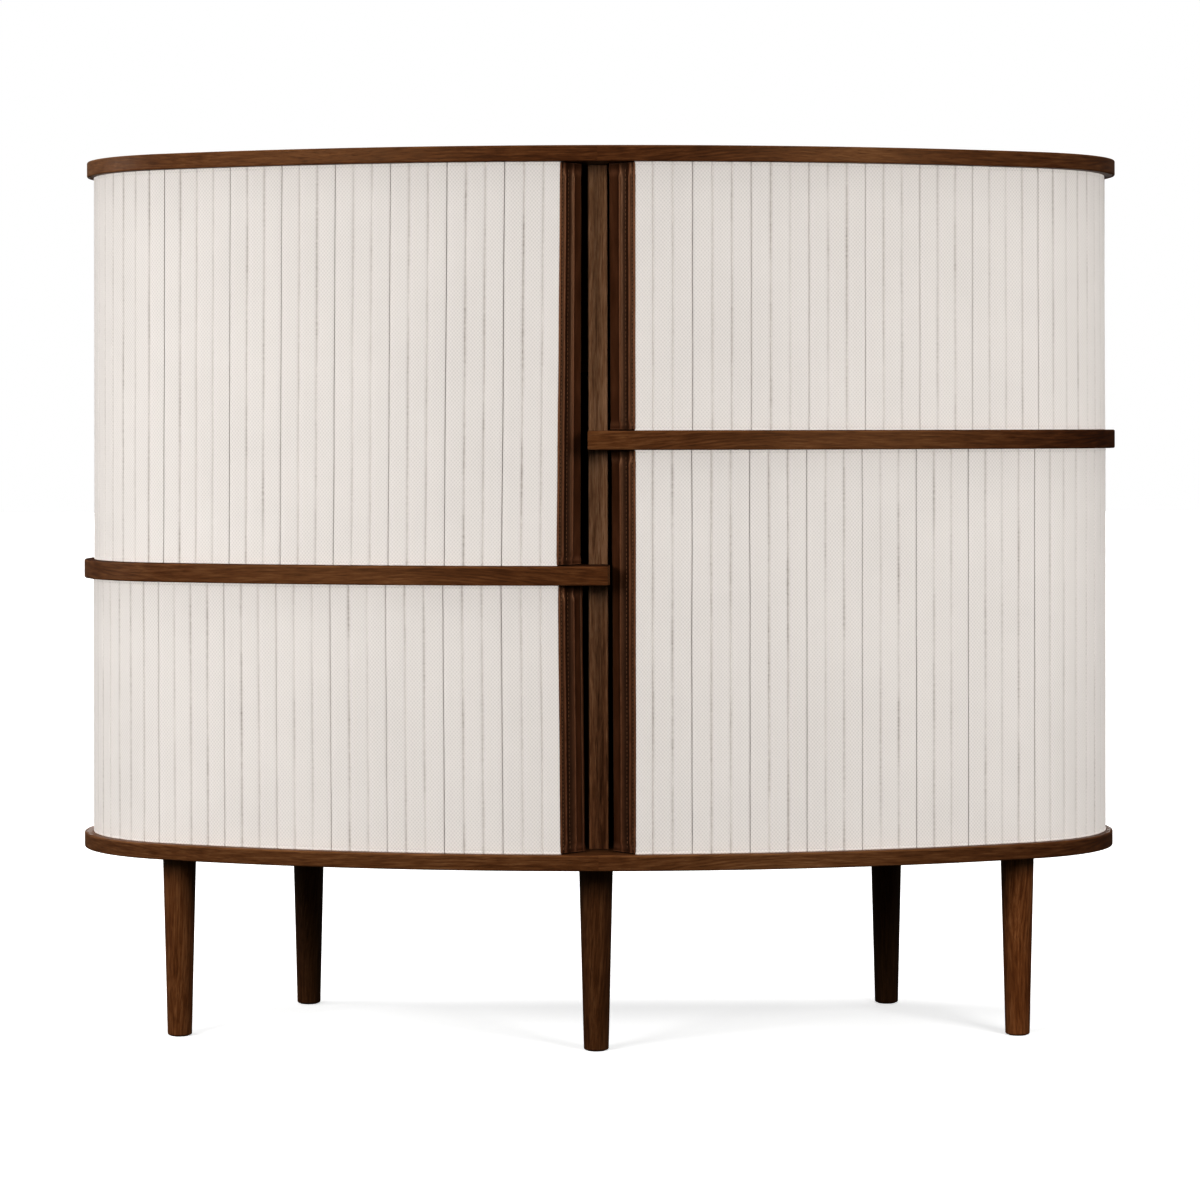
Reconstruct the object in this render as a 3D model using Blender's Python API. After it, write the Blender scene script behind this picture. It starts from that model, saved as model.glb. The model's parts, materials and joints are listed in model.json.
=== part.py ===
"""Oval highboard with four sliding tambour curtains on five turned legs.

Metres, +Z up. The origin is on the floor under the middle of the cabinet, the front faces -Y.
Each curtain runs in a groove that follows the front, turns round the end and curls in behind the liner.
"""

import math

import bmesh
import bpy
from mathutils import Vector

# Overall form: two large boards of one D-shaped outline, a shallow front arc that meets two end arcs
WIDTH = 1.300
DEPTH = 0.534
END_RADIUS = 0.212
LEG_HEIGHT = 0.225
SHORT_BAY_HEIGHT = 0.320
TALL_BAY_HEIGHT = 0.481

# Boards
BASE_THICK = 0.019
TOP_THICK = 0.019
SHELF_THICK = 0.023
BOARD_EASE = 0.001
JOINT_GAP = 0.0003

# Centre divider
DIVIDER_THICK = 0.024
DIVIDER_SETBACK = 0.070
DIVIDER_EASE = 0.0018

# Bent back shell
SHELL_THICK = 0.007
SHELL_INSET = 0.002
SHELL_START_ANGLE = math.radians(99.5)

# Bent inner liners, one for each bay
LINER_THICK = 0.009
LINER_TRACK_CLEARANCE = 0.016
LINER_SIDE_SHARE = 0.31
LINER_CORNER_RADIUS = 0.055
LINER_FRONT_CLEARANCE = 0.032
LINER_EDGE_EASE = 0.0015

# Loose shelf of a tall bay; its pins are pressed into the walls, with free holes above and below them
LOOSE_SHELF_THICK = 0.016
LOOSE_SHELF_SETBACK = 0.060
LOOSE_SHELF_PLAY = 0.001
PIN_RADIUS = 0.0025
PIN_SEAT_DEPTH = 0.007
PIN_REACH = 0.008
PIN_CLEARANCE = 0.0003
PIN_HOLE_SPACING = 0.032
FREE_HOLE_STEPS = (-1, 1)
PIN_FRONT_SHARE = 0.22
PIN_REAR_SHARE = 0.80

# Tambour curtain: flat slats on a fabric face
FABRIC_INSET = 0.011
CURTAIN_THICK = 0.008
RUNNING_GAP = 0.0005
SLAT_PITCH = 0.0234
SEAM_HALF_WIDTH = 0.0006
SEAM_DEPTH = 0.0012
CANVAS_DEPTH = 0.0030
SLAT_BEVEL = 0.0040
GROUP_GAP = 0.0024
FIRST_SLAT_START = 0.044
TAIL_ANGLE = math.radians(101.0)
TAIL_STOP_ANGLE = math.radians(225.4)
LEAD_SLATS = 3
MIDDLE_GROUPS = 6
LEAD_SPARE = 0.010

# Track groove and the tongues that run in it
GROOVE_DEPTH = 0.006
GROOVE_NEAR = 0.0015
GROOVE_FAR = 0.0065
TONGUE_SIDE_CLEARANCE = 0.0007
TONGUE_HEIGHT = 0.005
TONGUE_END_MARGIN = 0.0055
GROOVE_END_SPARE = 0.008

# Leather pull on the leading edge of each curtain
PULL_INNER_X = 0.016
PULL_SINK = 0.028
PULL_THICK = 0.0055
PULL_RIDGE_HEIGHT = 0.0014
PULL_SEAM_GAP = 0.0004
PULL_RIDGE_SHARES = (
    (0.00, 0.0),
    (0.08, 0.7),
    (0.18, 1.0),
    (0.29, 0.6),
    (0.40, -0.3),
    (0.50, 0.6),
    (0.60, 1.0),
    (0.72, 0.4),
    (0.88, 0.0),
)
PULL_TIP_STEPS = 4

# Legs, their bolts and glides
LEG_TOP_RADIUS = 0.0205
LEG_FOOT_RADIUS = 0.0150
LEG_FOOT_ROUND = 0.0015
FRONT_LEG_SETBACK = 0.083
SIDE_LEG_INSET = 0.132
SIDE_LEG_AHEAD = 0.120
REAR_LEG_INWARD = 0.061
REAR_LEG_INSET = 0.062
BOLT_RADIUS = 0.004
BOLT_CLEARANCE = 0.0003
BOLT_IN_LEG = 0.030
BOLT_IN_BASE = 0.012
GLIDE_RADIUS = 0.0115
GLIDE_PROUD = 0.0010

# Facets of the round forms
FRONT_STEPS = 12
END_FRONT_STEPS = 10
END_BACK_STEPS = 10
GROOVE_STEP_ANGLE = math.radians(6.5)
LINER_CORNER_STEPS = 6
DIVIDER_EASE_STEPS = 3
LEG_SIDES = 24
PIN_SIDES = 10
CUT_OVERRUN = 0.002

# Plan geometry that follows from the overall form
END_X = WIDTH / 2 - END_RADIUS
END_Y = DEPTH / 2 - END_RADIUS
FRONT_TO_END_CENTRE = DEPTH - END_RADIUS
FRONT_RISE = FRONT_TO_END_CENTRE - END_RADIUS
FRONT_RADIUS = (FRONT_TO_END_CENTRE**2 + END_X**2 - END_RADIUS**2) / (2 * FRONT_RISE)
FRONT_Y = FRONT_RADIUS - DEPTH / 2
JUNCTION_ANGLE = math.asin(END_X / (FRONT_RADIUS - END_RADIUS))
HALF_DIVIDER = DIVIDER_THICK / 2
DIVIDER_FRONT_Y = DIVIDER_SETBACK - DEPTH / 2
SHELL_OUTER_RADIUS = END_RADIUS - SHELL_INSET
SHELL_INNER_RADIUS = SHELL_OUTER_RADIUS - SHELL_THICK

# Levels
BASE_LOW = LEG_HEIGHT
BASE_HIGH = BASE_LOW + BASE_THICK
TOP_LOW = BASE_HIGH + SHORT_BAY_HEIGHT + SHELF_THICK + TALL_BAY_HEIGHT
TOP_HIGH = TOP_LOW + TOP_THICK
LEFT_SHELF_LOW = BASE_HIGH + SHORT_BAY_HEIGHT
RIGHT_SHELF_LOW = BASE_HIGH + TALL_BAY_HEIGHT
LEFT_SHELF_HIGH = LEFT_SHELF_LOW + SHELF_THICK
RIGHT_SHELF_HIGH = RIGHT_SHELF_LOW + SHELF_THICK

# Track, measured along the fabric face from the middle of the front
TRACK_FRONT_RADIUS = FRONT_RADIUS - FABRIC_INSET
TRACK_END_RADIUS = END_RADIUS - FABRIC_INSET
TRACK_JUNCTION = TRACK_FRONT_RADIUS * JUNCTION_ANGLE
FRONT_SLATS = math.ceil((TRACK_JUNCTION - FIRST_SLAT_START) / SLAT_PITCH)
TAIL_TRACK = TRACK_JUNCTION + TRACK_END_RADIUS * (TAIL_ANGLE - JUNCTION_ANGLE)
TAIL_SLATS = math.ceil((TAIL_TRACK - FIRST_SLAT_START) / SLAT_PITCH) - FRONT_SLATS
CURTAIN_LENGTH = (FRONT_SLATS + TAIL_SLATS) * SLAT_PITCH
PULL_TRAVEL = TRACK_JUNCTION - FIRST_SLAT_START - LEAD_SLATS * SLAT_PITCH - LEAD_SPARE
TAIL_STOP = TRACK_JUNCTION + TRACK_END_RADIUS * (TAIL_STOP_ANGLE - JUNCTION_ANGLE)
TRAVEL = min(PULL_TRAVEL, TAIL_STOP - FIRST_SLAT_START - CURTAIN_LENGTH)

# The four bays: name, side (1 right, -1 left), floor level, ceiling level, whether it holds a loose shelf
BAYS = (
    ("upper_left", -1, LEFT_SHELF_HIGH, TOP_LOW, True),
    ("lower_left", -1, BASE_HIGH, LEFT_SHELF_LOW, False),
    ("upper_right", 1, RIGHT_SHELF_HIGH, TOP_LOW, False),
    ("lower_right", 1, BASE_HIGH, RIGHT_SHELF_LOW, True),
)


def clear_scene():
    """Removes every object of the open scene."""
    for item in list(bpy.data.objects):
        bpy.data.objects.remove(item)


def make_material(name, colour, roughness, metallic=0.0):
    """A plain Principled material."""
    material = bpy.data.materials.new(name)
    material.use_nodes = True
    shader = material.node_tree.nodes["Principled BSDF"]
    shader.inputs["Base Color"].default_value = (*colour, 1.0)
    shader.inputs["Roughness"].default_value = roughness
    shader.inputs["Metallic"].default_value = metallic
    return material


def place_object(name, mesh, origin, material):
    """Puts a mesh made in world coordinates into an object whose origin is at the given point."""
    shift = Vector(origin)
    for vertex in mesh.vertices:
        vertex.co -= shift
    item = bpy.data.objects.new(name, mesh)
    item.location = shift
    bpy.context.scene.collection.objects.link(item)
    if material is not None:
        mesh.materials.append(material)
    mesh.shade_smooth()
    mesh.set_sharp_from_angle(angle=math.radians(30.0))
    return item


def stack_mesh(name, solids):
    """A mesh of closed solids, each a list of rings; every ring is a level and its plan points."""
    form = bmesh.new()
    for rings in solids:
        loops = [[form.verts.new((x, y, level)) for x, y in points] for level, points in rings]
        count = len(loops[0])
        for lower, upper in zip(loops, loops[1:]):
            for i in range(count):
                j = (i + 1) % count
                form.faces.new((lower[i], lower[j], upper[j], upper[i]))
        form.faces.new(loops[0][::-1])
        form.faces.new(loops[-1])
    bmesh.ops.recalc_face_normals(form, faces=form.faces)
    mesh = bpy.data.meshes.new(name)
    form.to_mesh(mesh)
    form.free()
    return mesh


def turned_mesh(name, profile, centres, sides):
    """A mesh of solids turned about vertical axes; the profile gives radius and level."""
    form = bmesh.new()
    for cx, cy in centres:
        rings = []
        for radius, level in profile:
            if radius == 0:
                rings.append([form.verts.new((cx, cy, level))])
                continue
            turn = [2 * math.pi * i / sides for i in range(sides)]
            points = [(cx + radius * math.cos(a), cy + radius * math.sin(a), level) for a in turn]
            rings.append([form.verts.new(point) for point in points])
        for first, second in zip(rings, rings[1:]):
            for i in range(sides):
                j = (i + 1) % sides
                corners = [first[i % len(first)], first[j % len(first)]]
                corners += [second[j % len(second)], second[i % len(second)]]
                form.faces.new(list(dict.fromkeys(corners)))
    bmesh.ops.recalc_face_normals(form, faces=form.faces)
    mesh = bpy.data.meshes.new(name)
    form.to_mesh(mesh)
    form.free()
    return mesh


def lying_rod(start_x, end_x, y, level, radius):
    """The two rings of points of a rod along X."""
    turn = [2 * math.pi * i / PIN_SIDES for i in range(PIN_SIDES)]
    ring = [(y + radius * math.cos(a), level + radius * math.sin(a)) for a in turn]
    return [[(x, *point) for point in ring] for x in (start_x, end_x)]


def rods_mesh(name, rods):
    """A mesh of closed rods, each two rings of points."""
    form = bmesh.new()
    for rings in rods:
        first, second = [[form.verts.new(point) for point in ring] for ring in rings]
        count = len(first)
        for i in range(count):
            j = (i + 1) % count
            form.faces.new((first[i], first[j], second[j], second[i]))
        form.faces.new(first[::-1])
        form.faces.new(second)
    bmesh.ops.recalc_face_normals(form, faces=form.faces)
    mesh = bpy.data.meshes.new(name)
    form.to_mesh(mesh)
    form.free()
    return mesh


def cut(item, name, mesh, operation="DIFFERENCE"):
    """Gives an object a Boolean with a hidden tool made from a mesh."""
    tool = place_object(name, mesh, (0, 0, 0), None)
    tool.hide_render = True
    tool.display_type = "WIRE"
    boolean = item.modifiers.new(name, "BOOLEAN")
    boolean.operation = operation
    boolean.object = tool


def mirrored(points, side):
    """Plan points of the right side, turned over for the left one."""
    return [(side * x, y) for x, y in points]


def front_point(angle, inset):
    """A point of the front arc, by its angle from the middle."""
    radius = FRONT_RADIUS - inset
    return (radius * math.sin(angle), FRONT_Y - radius * math.cos(angle))


def end_point(angle, radius):
    """A point round the right end's centre, by its angle from straight ahead."""
    return (END_X + radius * math.sin(angle), END_Y - radius * math.cos(angle))


def spread(start, end, steps):
    """Evenly spaced values, both ends included."""
    return [start + (end - start) * i / steps for i in range(steps + 1)]


def right_outline(inset):
    """The board's outline from the middle of the front round the right end to where the shell starts."""
    front = [front_point(a, inset) for a in spread(0, JUNCTION_ANGLE, FRONT_STEPS)]
    turn = spread(JUNCTION_ANGLE, SHELL_START_ANGLE, END_FRONT_STEPS)
    end = [end_point(a, END_RADIUS - inset) for a in turn]
    return front + end[1:]


def right_back_arc(radius):
    """The arc from where the shell starts to the straight back."""
    return [end_point(a, radius) for a in spread(SHELL_START_ANGLE, math.pi, END_BACK_STEPS)]


def full_outline(inset):
    """The whole outline of the top and base boards."""
    right = right_outline(inset) + right_back_arc(END_RADIUS - inset)[1:]
    return right + mirrored(right[:0:-1], -1)


def shelf_outline(inset):
    """The right shelf board: it covers the divider's front edge and stops inside the back shell."""
    nose_angle = math.asin((HALF_DIVIDER - inset) / (FRONT_RADIUS - inset))
    nose_back_y = DIVIDER_FRONT_Y - JOINT_GAP - inset
    side_x = HALF_DIVIDER + JOINT_GAP + inset
    back_radius = SHELL_INNER_RADIUS - JOINT_GAP - inset
    step_angle = SHELL_START_ANGLE - (JOINT_GAP + inset) / END_RADIUS
    front = [front_point(a, inset) for a in spread(-nose_angle, JUNCTION_ANGLE, FRONT_STEPS)]
    end = [end_point(a, END_RADIUS - inset) for a in spread(JUNCTION_ANGLE, step_angle, END_FRONT_STEPS)]
    behind = right_back_arc(back_radius)
    behind[0] = end_point(step_angle, back_radius)
    inner = [(side_x, END_Y + back_radius), (side_x, nose_back_y), (inset - HALF_DIVIDER, nose_back_y)]
    return front + end[1:] + behind + inner


def eased_rings(outline, low, high):
    """Rings of a board whose long edges are eased."""
    return [
        (low, outline(BOARD_EASE)),
        (low + BOARD_EASE, outline(0)),
        (high - BOARD_EASE, outline(0)),
        (high, outline(BOARD_EASE)),
    ]


def track_point(travelled, sunk=0):
    """A point of the right track, by the way along the fabric face and the depth behind it."""
    if travelled <= TRACK_JUNCTION:
        radius = TRACK_FRONT_RADIUS - sunk
        angle = travelled / TRACK_FRONT_RADIUS
        return Vector((radius * math.sin(angle), FRONT_Y - radius * math.cos(angle)))
    angle = JUNCTION_ANGLE + (travelled - TRACK_JUNCTION) / TRACK_END_RADIUS
    return Vector(end_point(angle, TRACK_END_RADIUS - sunk))


def track_depth(x):
    """How far back the fabric face stands at a distance from the middle."""
    if x < TRACK_FRONT_RADIUS * math.sin(JUNCTION_ANGLE):
        return FRONT_Y - math.sqrt(TRACK_FRONT_RADIUS**2 - x**2)
    return END_Y - math.sqrt(TRACK_END_RADIUS**2 - (x - END_X) ** 2)


def track_heading(start, end):
    """The direction of the chord between two places on the track."""
    chord = track_point(end) - track_point(start)
    return math.atan2(chord.y, chord.x)


def outside_track(point):
    """How far a plan point of the right side lies outside the fabric face's line."""
    angle = math.atan2(point.x, FRONT_Y - point.y)
    if angle < JUNCTION_ANGLE and point.y < END_Y:
        return (point - Vector((0, FRONT_Y))).length - TRACK_FRONT_RADIUS
    return (point - Vector((END_X, END_Y))).length - TRACK_END_RADIUS


def turned(vector, angle):
    """A plan vector turned by an angle."""
    cosine = math.cos(angle)
    sine = math.sin(angle)
    return Vector((cosine * vector.x - sine * vector.y, sine * vector.x + cosine * vector.y))


def group_spans():
    """Start and slat count of each rigid group of slats: leading, middle and tail groups."""
    middle = FRONT_SLATS - LEAD_SLATS
    counts = [LEAD_SLATS]
    for i in range(MIDDLE_GROUPS):
        counts.append((i + 1) * middle // MIDDLE_GROUPS - i * middle // MIDDLE_GROUPS)
    counts.append(TAIL_SLATS)
    spans = []
    start = FIRST_SLAT_START
    for count in counts:
        spans.append((start, count))
        start += count * SLAT_PITCH
    return spans


def group_pole(start, count):
    """The point that a group turns about between closed and open, and its angle.

    The leading group turns about the front's centre and the tail about the end's centre, as the track does.
    A middle group leaves the front arc for the end arc: it is set down there just inside the track.
    """
    end = start + count * SLAT_PITCH
    if end + TRAVEL <= TRACK_JUNCTION:
        return Vector((0, FRONT_Y)), TRAVEL / TRACK_FRONT_RADIUS
    if start >= TRACK_JUNCTION:
        return Vector((END_X, END_Y)), TRAVEL / TRACK_END_RADIUS
    near = start + GROUP_GAP / 2
    far = end - GROUP_GAP / 2
    closed = (track_point(near) + track_point(far)) / 2
    opened = (track_point(near + TRAVEL) + track_point(far + TRAVEL)) / 2
    heading = track_heading(near + TRAVEL, far + TRAVEL)
    angle = (heading - track_heading(near, far)) % (2 * math.pi)
    outward = Vector((math.sin(heading), -math.cos(heading)))
    face = [turned(track_point(s) - closed, angle) + opened for s in spread(near, far, 4 * count)]
    for _ in range(8):
        excess = max(outside_track(point) for point in face)
        face = [point - excess * outward for point in face]
        opened -= excess * outward
    halfway = (closed + opened) / 2
    across = turned(opened - closed, math.pi / 2) / (2 * math.tan(angle / 2))
    return halfway + across, angle


def slats_outline(start, count):
    """Plan outline of a group: fabric face with seams, and bevelled slats behind it."""
    face = []
    back = []
    for i in range(count):
        near = start + i * SLAT_PITCH
        far = near + SLAT_PITCH
        near_edge = GROUP_GAP / 2 if i == 0 else SEAM_HALF_WIDTH
        far_edge = GROUP_GAP / 2 if i == count - 1 else SEAM_HALF_WIDTH
        face += [track_point(near + near_edge), track_point(far - far_edge)]
        back.append(track_point(near + SLAT_BEVEL, CURTAIN_THICK))
        back.append(track_point(far - SLAT_BEVEL, CURTAIN_THICK))
        if i < count - 1:
            face.append(track_point(far, SEAM_DEPTH))
            back.append(track_point(far, CANVAS_DEPTH))
    return [tuple(point) for point in face + back[::-1]]


def tongue_outline(start):
    """Plan outline of the tongue on the end of one slat."""
    near = start + TONGUE_END_MARGIN
    far = start + SLAT_PITCH - TONGUE_END_MARGIN
    outer = GROOVE_NEAR + TONGUE_SIDE_CLEARANCE
    inner = GROOVE_FAR - TONGUE_SIDE_CLEARANCE
    corners = ((near, outer), (far, outer), (far, inner), (near, inner))
    return [tuple(track_point(along, sunk)) for along, sunk in corners]


def groove_outline():
    """Plan outline of the track groove of the right side."""
    near = FIRST_SLAT_START
    far = FIRST_SLAT_START + CURTAIN_LENGTH + TRAVEL + GROOVE_END_SPARE
    turn_steps = math.ceil((far - TRACK_JUNCTION) / TRACK_END_RADIUS / GROOVE_STEP_ANGLE)
    places = spread(near, TRACK_JUNCTION, FRONT_STEPS) + spread(TRACK_JUNCTION, far, turn_steps)[1:]
    outer = [tuple(track_point(s, GROOVE_NEAR)) for s in places]
    inner = [tuple(track_point(s, GROOVE_FAR)) for s in places]
    return outer + inner[::-1]


def pull_outline():
    """Plan outline of the leather pull: two padded ridges on a strip that slants in from the fabric."""
    root = track_point(FIRST_SLAT_START + GROUP_GAP / 2 - PULL_SEAM_GAP)
    tip = Vector((PULL_INNER_X, root.y + PULL_SINK))
    along = tip - root
    length = along.length
    along = along / length
    outward = turned(along, math.pi / 2)
    if outward.y > 0:
        outward = -outward
    half = PULL_THICK / 2
    face = []
    for place, height in PULL_RIDGE_SHARES:
        face.append(root + along * (place * length) + outward * (height * PULL_RIDGE_HEIGHT))
    centre = root + along * (length - half) - outward * half
    for i in range(PULL_TIP_STEPS + 1):
        angle = math.pi * i / PULL_TIP_STEPS
        face.append(centre + outward * (half * math.cos(angle)) + along * (half * math.sin(angle)))
    face.append(root - outward * PULL_THICK + along * PULL_THICK)
    return [tuple(point) for point in face]


def liner_outline():
    """Plan outline of the bent liner of a right bay, inside the curled track."""
    side_x = END_X + LINER_SIDE_SHARE * TRACK_END_RADIUS
    reach = TRACK_END_RADIUS - CURTAIN_THICK - LINER_TRACK_CLEARANCE
    tail_end = FIRST_SLAT_START + CURTAIN_LENGTH + TRAVEL
    tail_angle = JUNCTION_ANGLE + (tail_end - TRACK_JUNCTION) / TRACK_END_RADIUS
    back_y = end_point(max(tail_angle, math.pi), reach)[1]
    front_y = track_depth(side_x) + LINER_FRONT_CLEARANCE
    centre_x = side_x - LINER_CORNER_RADIUS
    centre_y = back_y - LINER_CORNER_RADIUS
    inner_x = HALF_DIVIDER + JOINT_GAP

    def corner(radius):
        turn = spread(0, math.pi / 2, LINER_CORNER_STEPS)
        return [(centre_x + radius * math.cos(a), centre_y + radius * math.sin(a)) for a in turn]

    eased_y = front_y + LINER_EDGE_EASE
    outer = [(side_x - LINER_EDGE_EASE, front_y), (side_x, eased_y)]
    outer += corner(LINER_CORNER_RADIUS) + [(inner_x, back_y)]
    inner_side_x = side_x - LINER_THICK
    inner = [(inner_side_x + LINER_EDGE_EASE, front_y), (inner_side_x, eased_y)]
    inner += corner(LINER_CORNER_RADIUS - LINER_THICK) + [(inner_x, back_y - LINER_THICK)]
    return outer + inner[::-1]


def liner_inside():
    """The side, back and front planes inside the liner of a right bay."""
    outline = liner_outline()
    side_x = max(x for x, y in outline) - LINER_THICK
    back_y = max(y for x, y in outline) - LINER_THICK
    front_y = min(y for x, y in outline)
    return side_x, back_y, front_y


def loose_shelf_outline():
    """Plan outline of the loose shelf, its front edge parallel with the cabinet's front."""
    side_x, back_y, front_y = liner_inside()
    inner_x = HALF_DIVIDER + LOOSE_SHELF_PLAY
    outer_x = side_x - LOOSE_SHELF_PLAY
    back_y -= LOOSE_SHELF_PLAY
    inset = DIVIDER_SETBACK + LOOSE_SHELF_SETBACK
    radius = FRONT_RADIUS - inset
    first = math.asin(inner_x / radius)
    last = math.asin(outer_x / radius)
    front = [front_point(a, inset) for a in spread(first, last, FRONT_STEPS)]
    corner = LINER_CORNER_RADIUS - LINER_THICK
    centre_x = outer_x - corner
    centre_y = back_y - corner
    turn = spread(0, math.pi / 2, LINER_CORNER_STEPS)
    rear = [(centre_x + corner * math.cos(a), centre_y + corner * math.sin(a)) for a in turn]
    return front + rear + [(inner_x, back_y)]


def leg_centres():
    """Plan places of the five legs, by name."""
    side_x = WIDTH / 2 - SIDE_LEG_INSET
    side_y = END_Y - SIDE_LEG_AHEAD
    rear_x = END_X - REAR_LEG_INWARD
    rear_y = DEPTH / 2 - REAR_LEG_INSET
    return {
        "front": (0, FRONT_LEG_SETBACK - DEPTH / 2),
        "left_side": (-side_x, side_y),
        "right_side": (side_x, side_y),
        "left_rear": (-rear_x, rear_y),
        "right_rear": (rear_x, rear_y),
    }


def pin_places(floor, ceiling):
    """Depths and level of the pins that hold a loose shelf."""
    side_x, back_y, front_y = liner_inside()
    depth = back_y - front_y
    level = (floor + ceiling) / 2 - LOOSE_SHELF_THICK / 2 - JOINT_GAP - PIN_RADIUS
    return [front_y + PIN_FRONT_SHARE * depth, front_y + PIN_REAR_SHARE * depth], level


def build_boards(wood):
    """Top, base and the two shelf boards, with the grooves cut in them."""
    groove = groove_outline()
    both = [groove, mirrored(groove, -1)]

    def grooves(name, plans, low, high):
        return stack_mesh(name, [[(low, plan), (high, plan)] for plan in plans])

    mesh = stack_mesh("top_board", [eased_rings(full_outline, TOP_LOW, TOP_HIGH)])
    top = place_object("top_board", mesh, (0, 0, TOP_LOW), wood)
    low = TOP_LOW - CUT_OVERRUN
    cut(top, "top_grooves", grooves("top_grooves", both, low, TOP_LOW + GROOVE_DEPTH))
    mesh = stack_mesh("base_board", [eased_rings(full_outline, BASE_LOW, BASE_HIGH)])
    base = place_object("base_board", mesh, (0, 0, BASE_LOW), wood)
    high = BASE_HIGH + CUT_OVERRUN
    cut(base, "base_grooves", grooves("base_grooves", both, BASE_HIGH - GROOVE_DEPTH, high))
    hole = BOLT_RADIUS + BOLT_CLEARANCE
    hole_top = BASE_LOW + BOLT_IN_BASE + BOLT_CLEARANCE
    profile = [(0, BASE_LOW - CUT_OVERRUN), (hole, BASE_LOW - CUT_OVERRUN), (hole, hole_top), (0, hole_top)]
    holes = turned_mesh("base_bolt_holes", profile, leg_centres().values(), PIN_SIDES)
    cut(base, "base_bolt_holes", holes)
    shelves = (("left_shelf_board", -1, LEFT_SHELF_LOW), ("right_shelf_board", 1, RIGHT_SHELF_LOW))
    for name, side, low in shelves:
        high = low + SHELF_THICK
        rings = [(level, mirrored(points, side)) for level, points in eased_rings(shelf_outline, low, high)]
        board = place_object(name, stack_mesh(name, [rings]), (0, 0, low), wood)
        plan = [mirrored(groove, side)]
        under = grooves(name + "_under_groove", plan, low - CUT_OVERRUN, low + GROOVE_DEPTH)
        cut(board, name + "_under_groove", under)
        upper = grooves(name + "_upper_groove", plan, high - GROOVE_DEPTH, high + CUT_OVERRUN)
        cut(board, name + "_upper_groove", upper)


def pin_holes(wall_x, side, floor, ceiling):
    """Rods that cut the free pin holes in a wall; side says which way the wall's open face looks."""
    depths, level = pin_places(floor, ceiling)
    radius = PIN_RADIUS + PIN_CLEARANCE
    start = wall_x - side * PIN_SEAT_DEPTH
    end = wall_x + side * CUT_OVERRUN
    places = [(y, level + step * PIN_HOLE_SPACING) for step in FREE_HOLE_STEPS for y in depths]
    return [lying_rod(start, end, y, height, radius) for y, height in places]


def pressed_pins(wall_x, side, floor, ceiling):
    """Rods of the two pins that stand out of a wall under the loose shelf."""
    depths, level = pin_places(floor, ceiling)
    start = wall_x - side * PIN_SEAT_DEPTH
    end = wall_x + side * PIN_REACH
    return [lying_rod(start, end, y, level, PIN_RADIUS) for y in depths]


def build_carcass(wood, inner_wood):
    """The divider, the back shell and the four liners."""
    back_y = END_Y + SHELL_INNER_RADIUS - JOINT_GAP
    low = BASE_HIGH + JOINT_GAP
    high = TOP_LOW - JOINT_GAP
    inner_x = HALF_DIVIDER - DIVIDER_EASE
    inner_y = DIVIDER_FRONT_Y + DIVIDER_EASE
    turn = spread(0, math.pi / 2, DIVIDER_EASE_STEPS)
    right = [(inner_x + DIVIDER_EASE * math.sin(a), inner_y - DIVIDER_EASE * math.cos(a)) for a in turn]
    right.append((HALF_DIVIDER, back_y))
    plan = right + mirrored(right[::-1], -1)
    mesh = stack_mesh("centre_divider", [[(low, plan), (high, plan)]])
    divider = place_object("centre_divider", mesh, (0, DIVIDER_FRONT_Y, low), wood)
    tall_bays = [bay for bay in BAYS if bay[-1]]
    holes = []
    pins = []
    for _, side, floor, ceiling, _ in tall_bays:
        holes += pin_holes(side * HALF_DIVIDER, side, floor, ceiling)
        pins += pressed_pins(side * HALF_DIVIDER, side, floor, ceiling)
    cut(divider, "divider_pin_holes", rods_mesh("divider_pin_holes", holes))
    cut(divider, "divider_pins", rods_mesh("divider_pins", pins), "UNION")

    outer = right_back_arc(SHELL_OUTER_RADIUS)
    inner = right_back_arc(SHELL_INNER_RADIUS)
    plan = outer + mirrored(outer[::-1], -1) + mirrored(inner, -1) + inner[::-1]
    mesh = stack_mesh("back_shell", [[(low, plan), (high, plan)]])
    place_object("back_shell", mesh, (0, back_y, low), wood)

    for name, side, floor, ceiling, holds_shelf in BAYS:
        plan = mirrored(liner_outline(), side)
        rings = [(floor + JOINT_GAP, plan), (ceiling - JOINT_GAP, plan)]
        mesh = stack_mesh(name + "_liner", [rings])
        liner = place_object(name + "_liner", mesh, (0, 0, floor), inner_wood)
        if holds_shelf:
            wall_x = side * liner_inside()[0]
            holes = pin_holes(wall_x, -side, floor, ceiling)
            pins = pressed_pins(wall_x, -side, floor, ceiling)
            cut(liner, name + "_pin_holes", rods_mesh(name + "_pin_holes", holes))
            cut(liner, name + "_pins", rods_mesh(name + "_pins", pins), "UNION")


def build_loose_shelves(inner_wood):
    """The two loose shelves, which lie on the pins."""
    for name, side, floor, ceiling, holds_shelf in BAYS:
        if not holds_shelf:
            continue
        low = (floor + ceiling) / 2 - LOOSE_SHELF_THICK / 2
        plan = mirrored(loose_shelf_outline(), side)
        rings = [(low, plan), (low + LOOSE_SHELF_THICK, plan)]
        mesh = stack_mesh(name + "_loose_shelf", [rings])
        place_object(name + "_loose_shelf", mesh, (0, 0, low), inner_wood)


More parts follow.
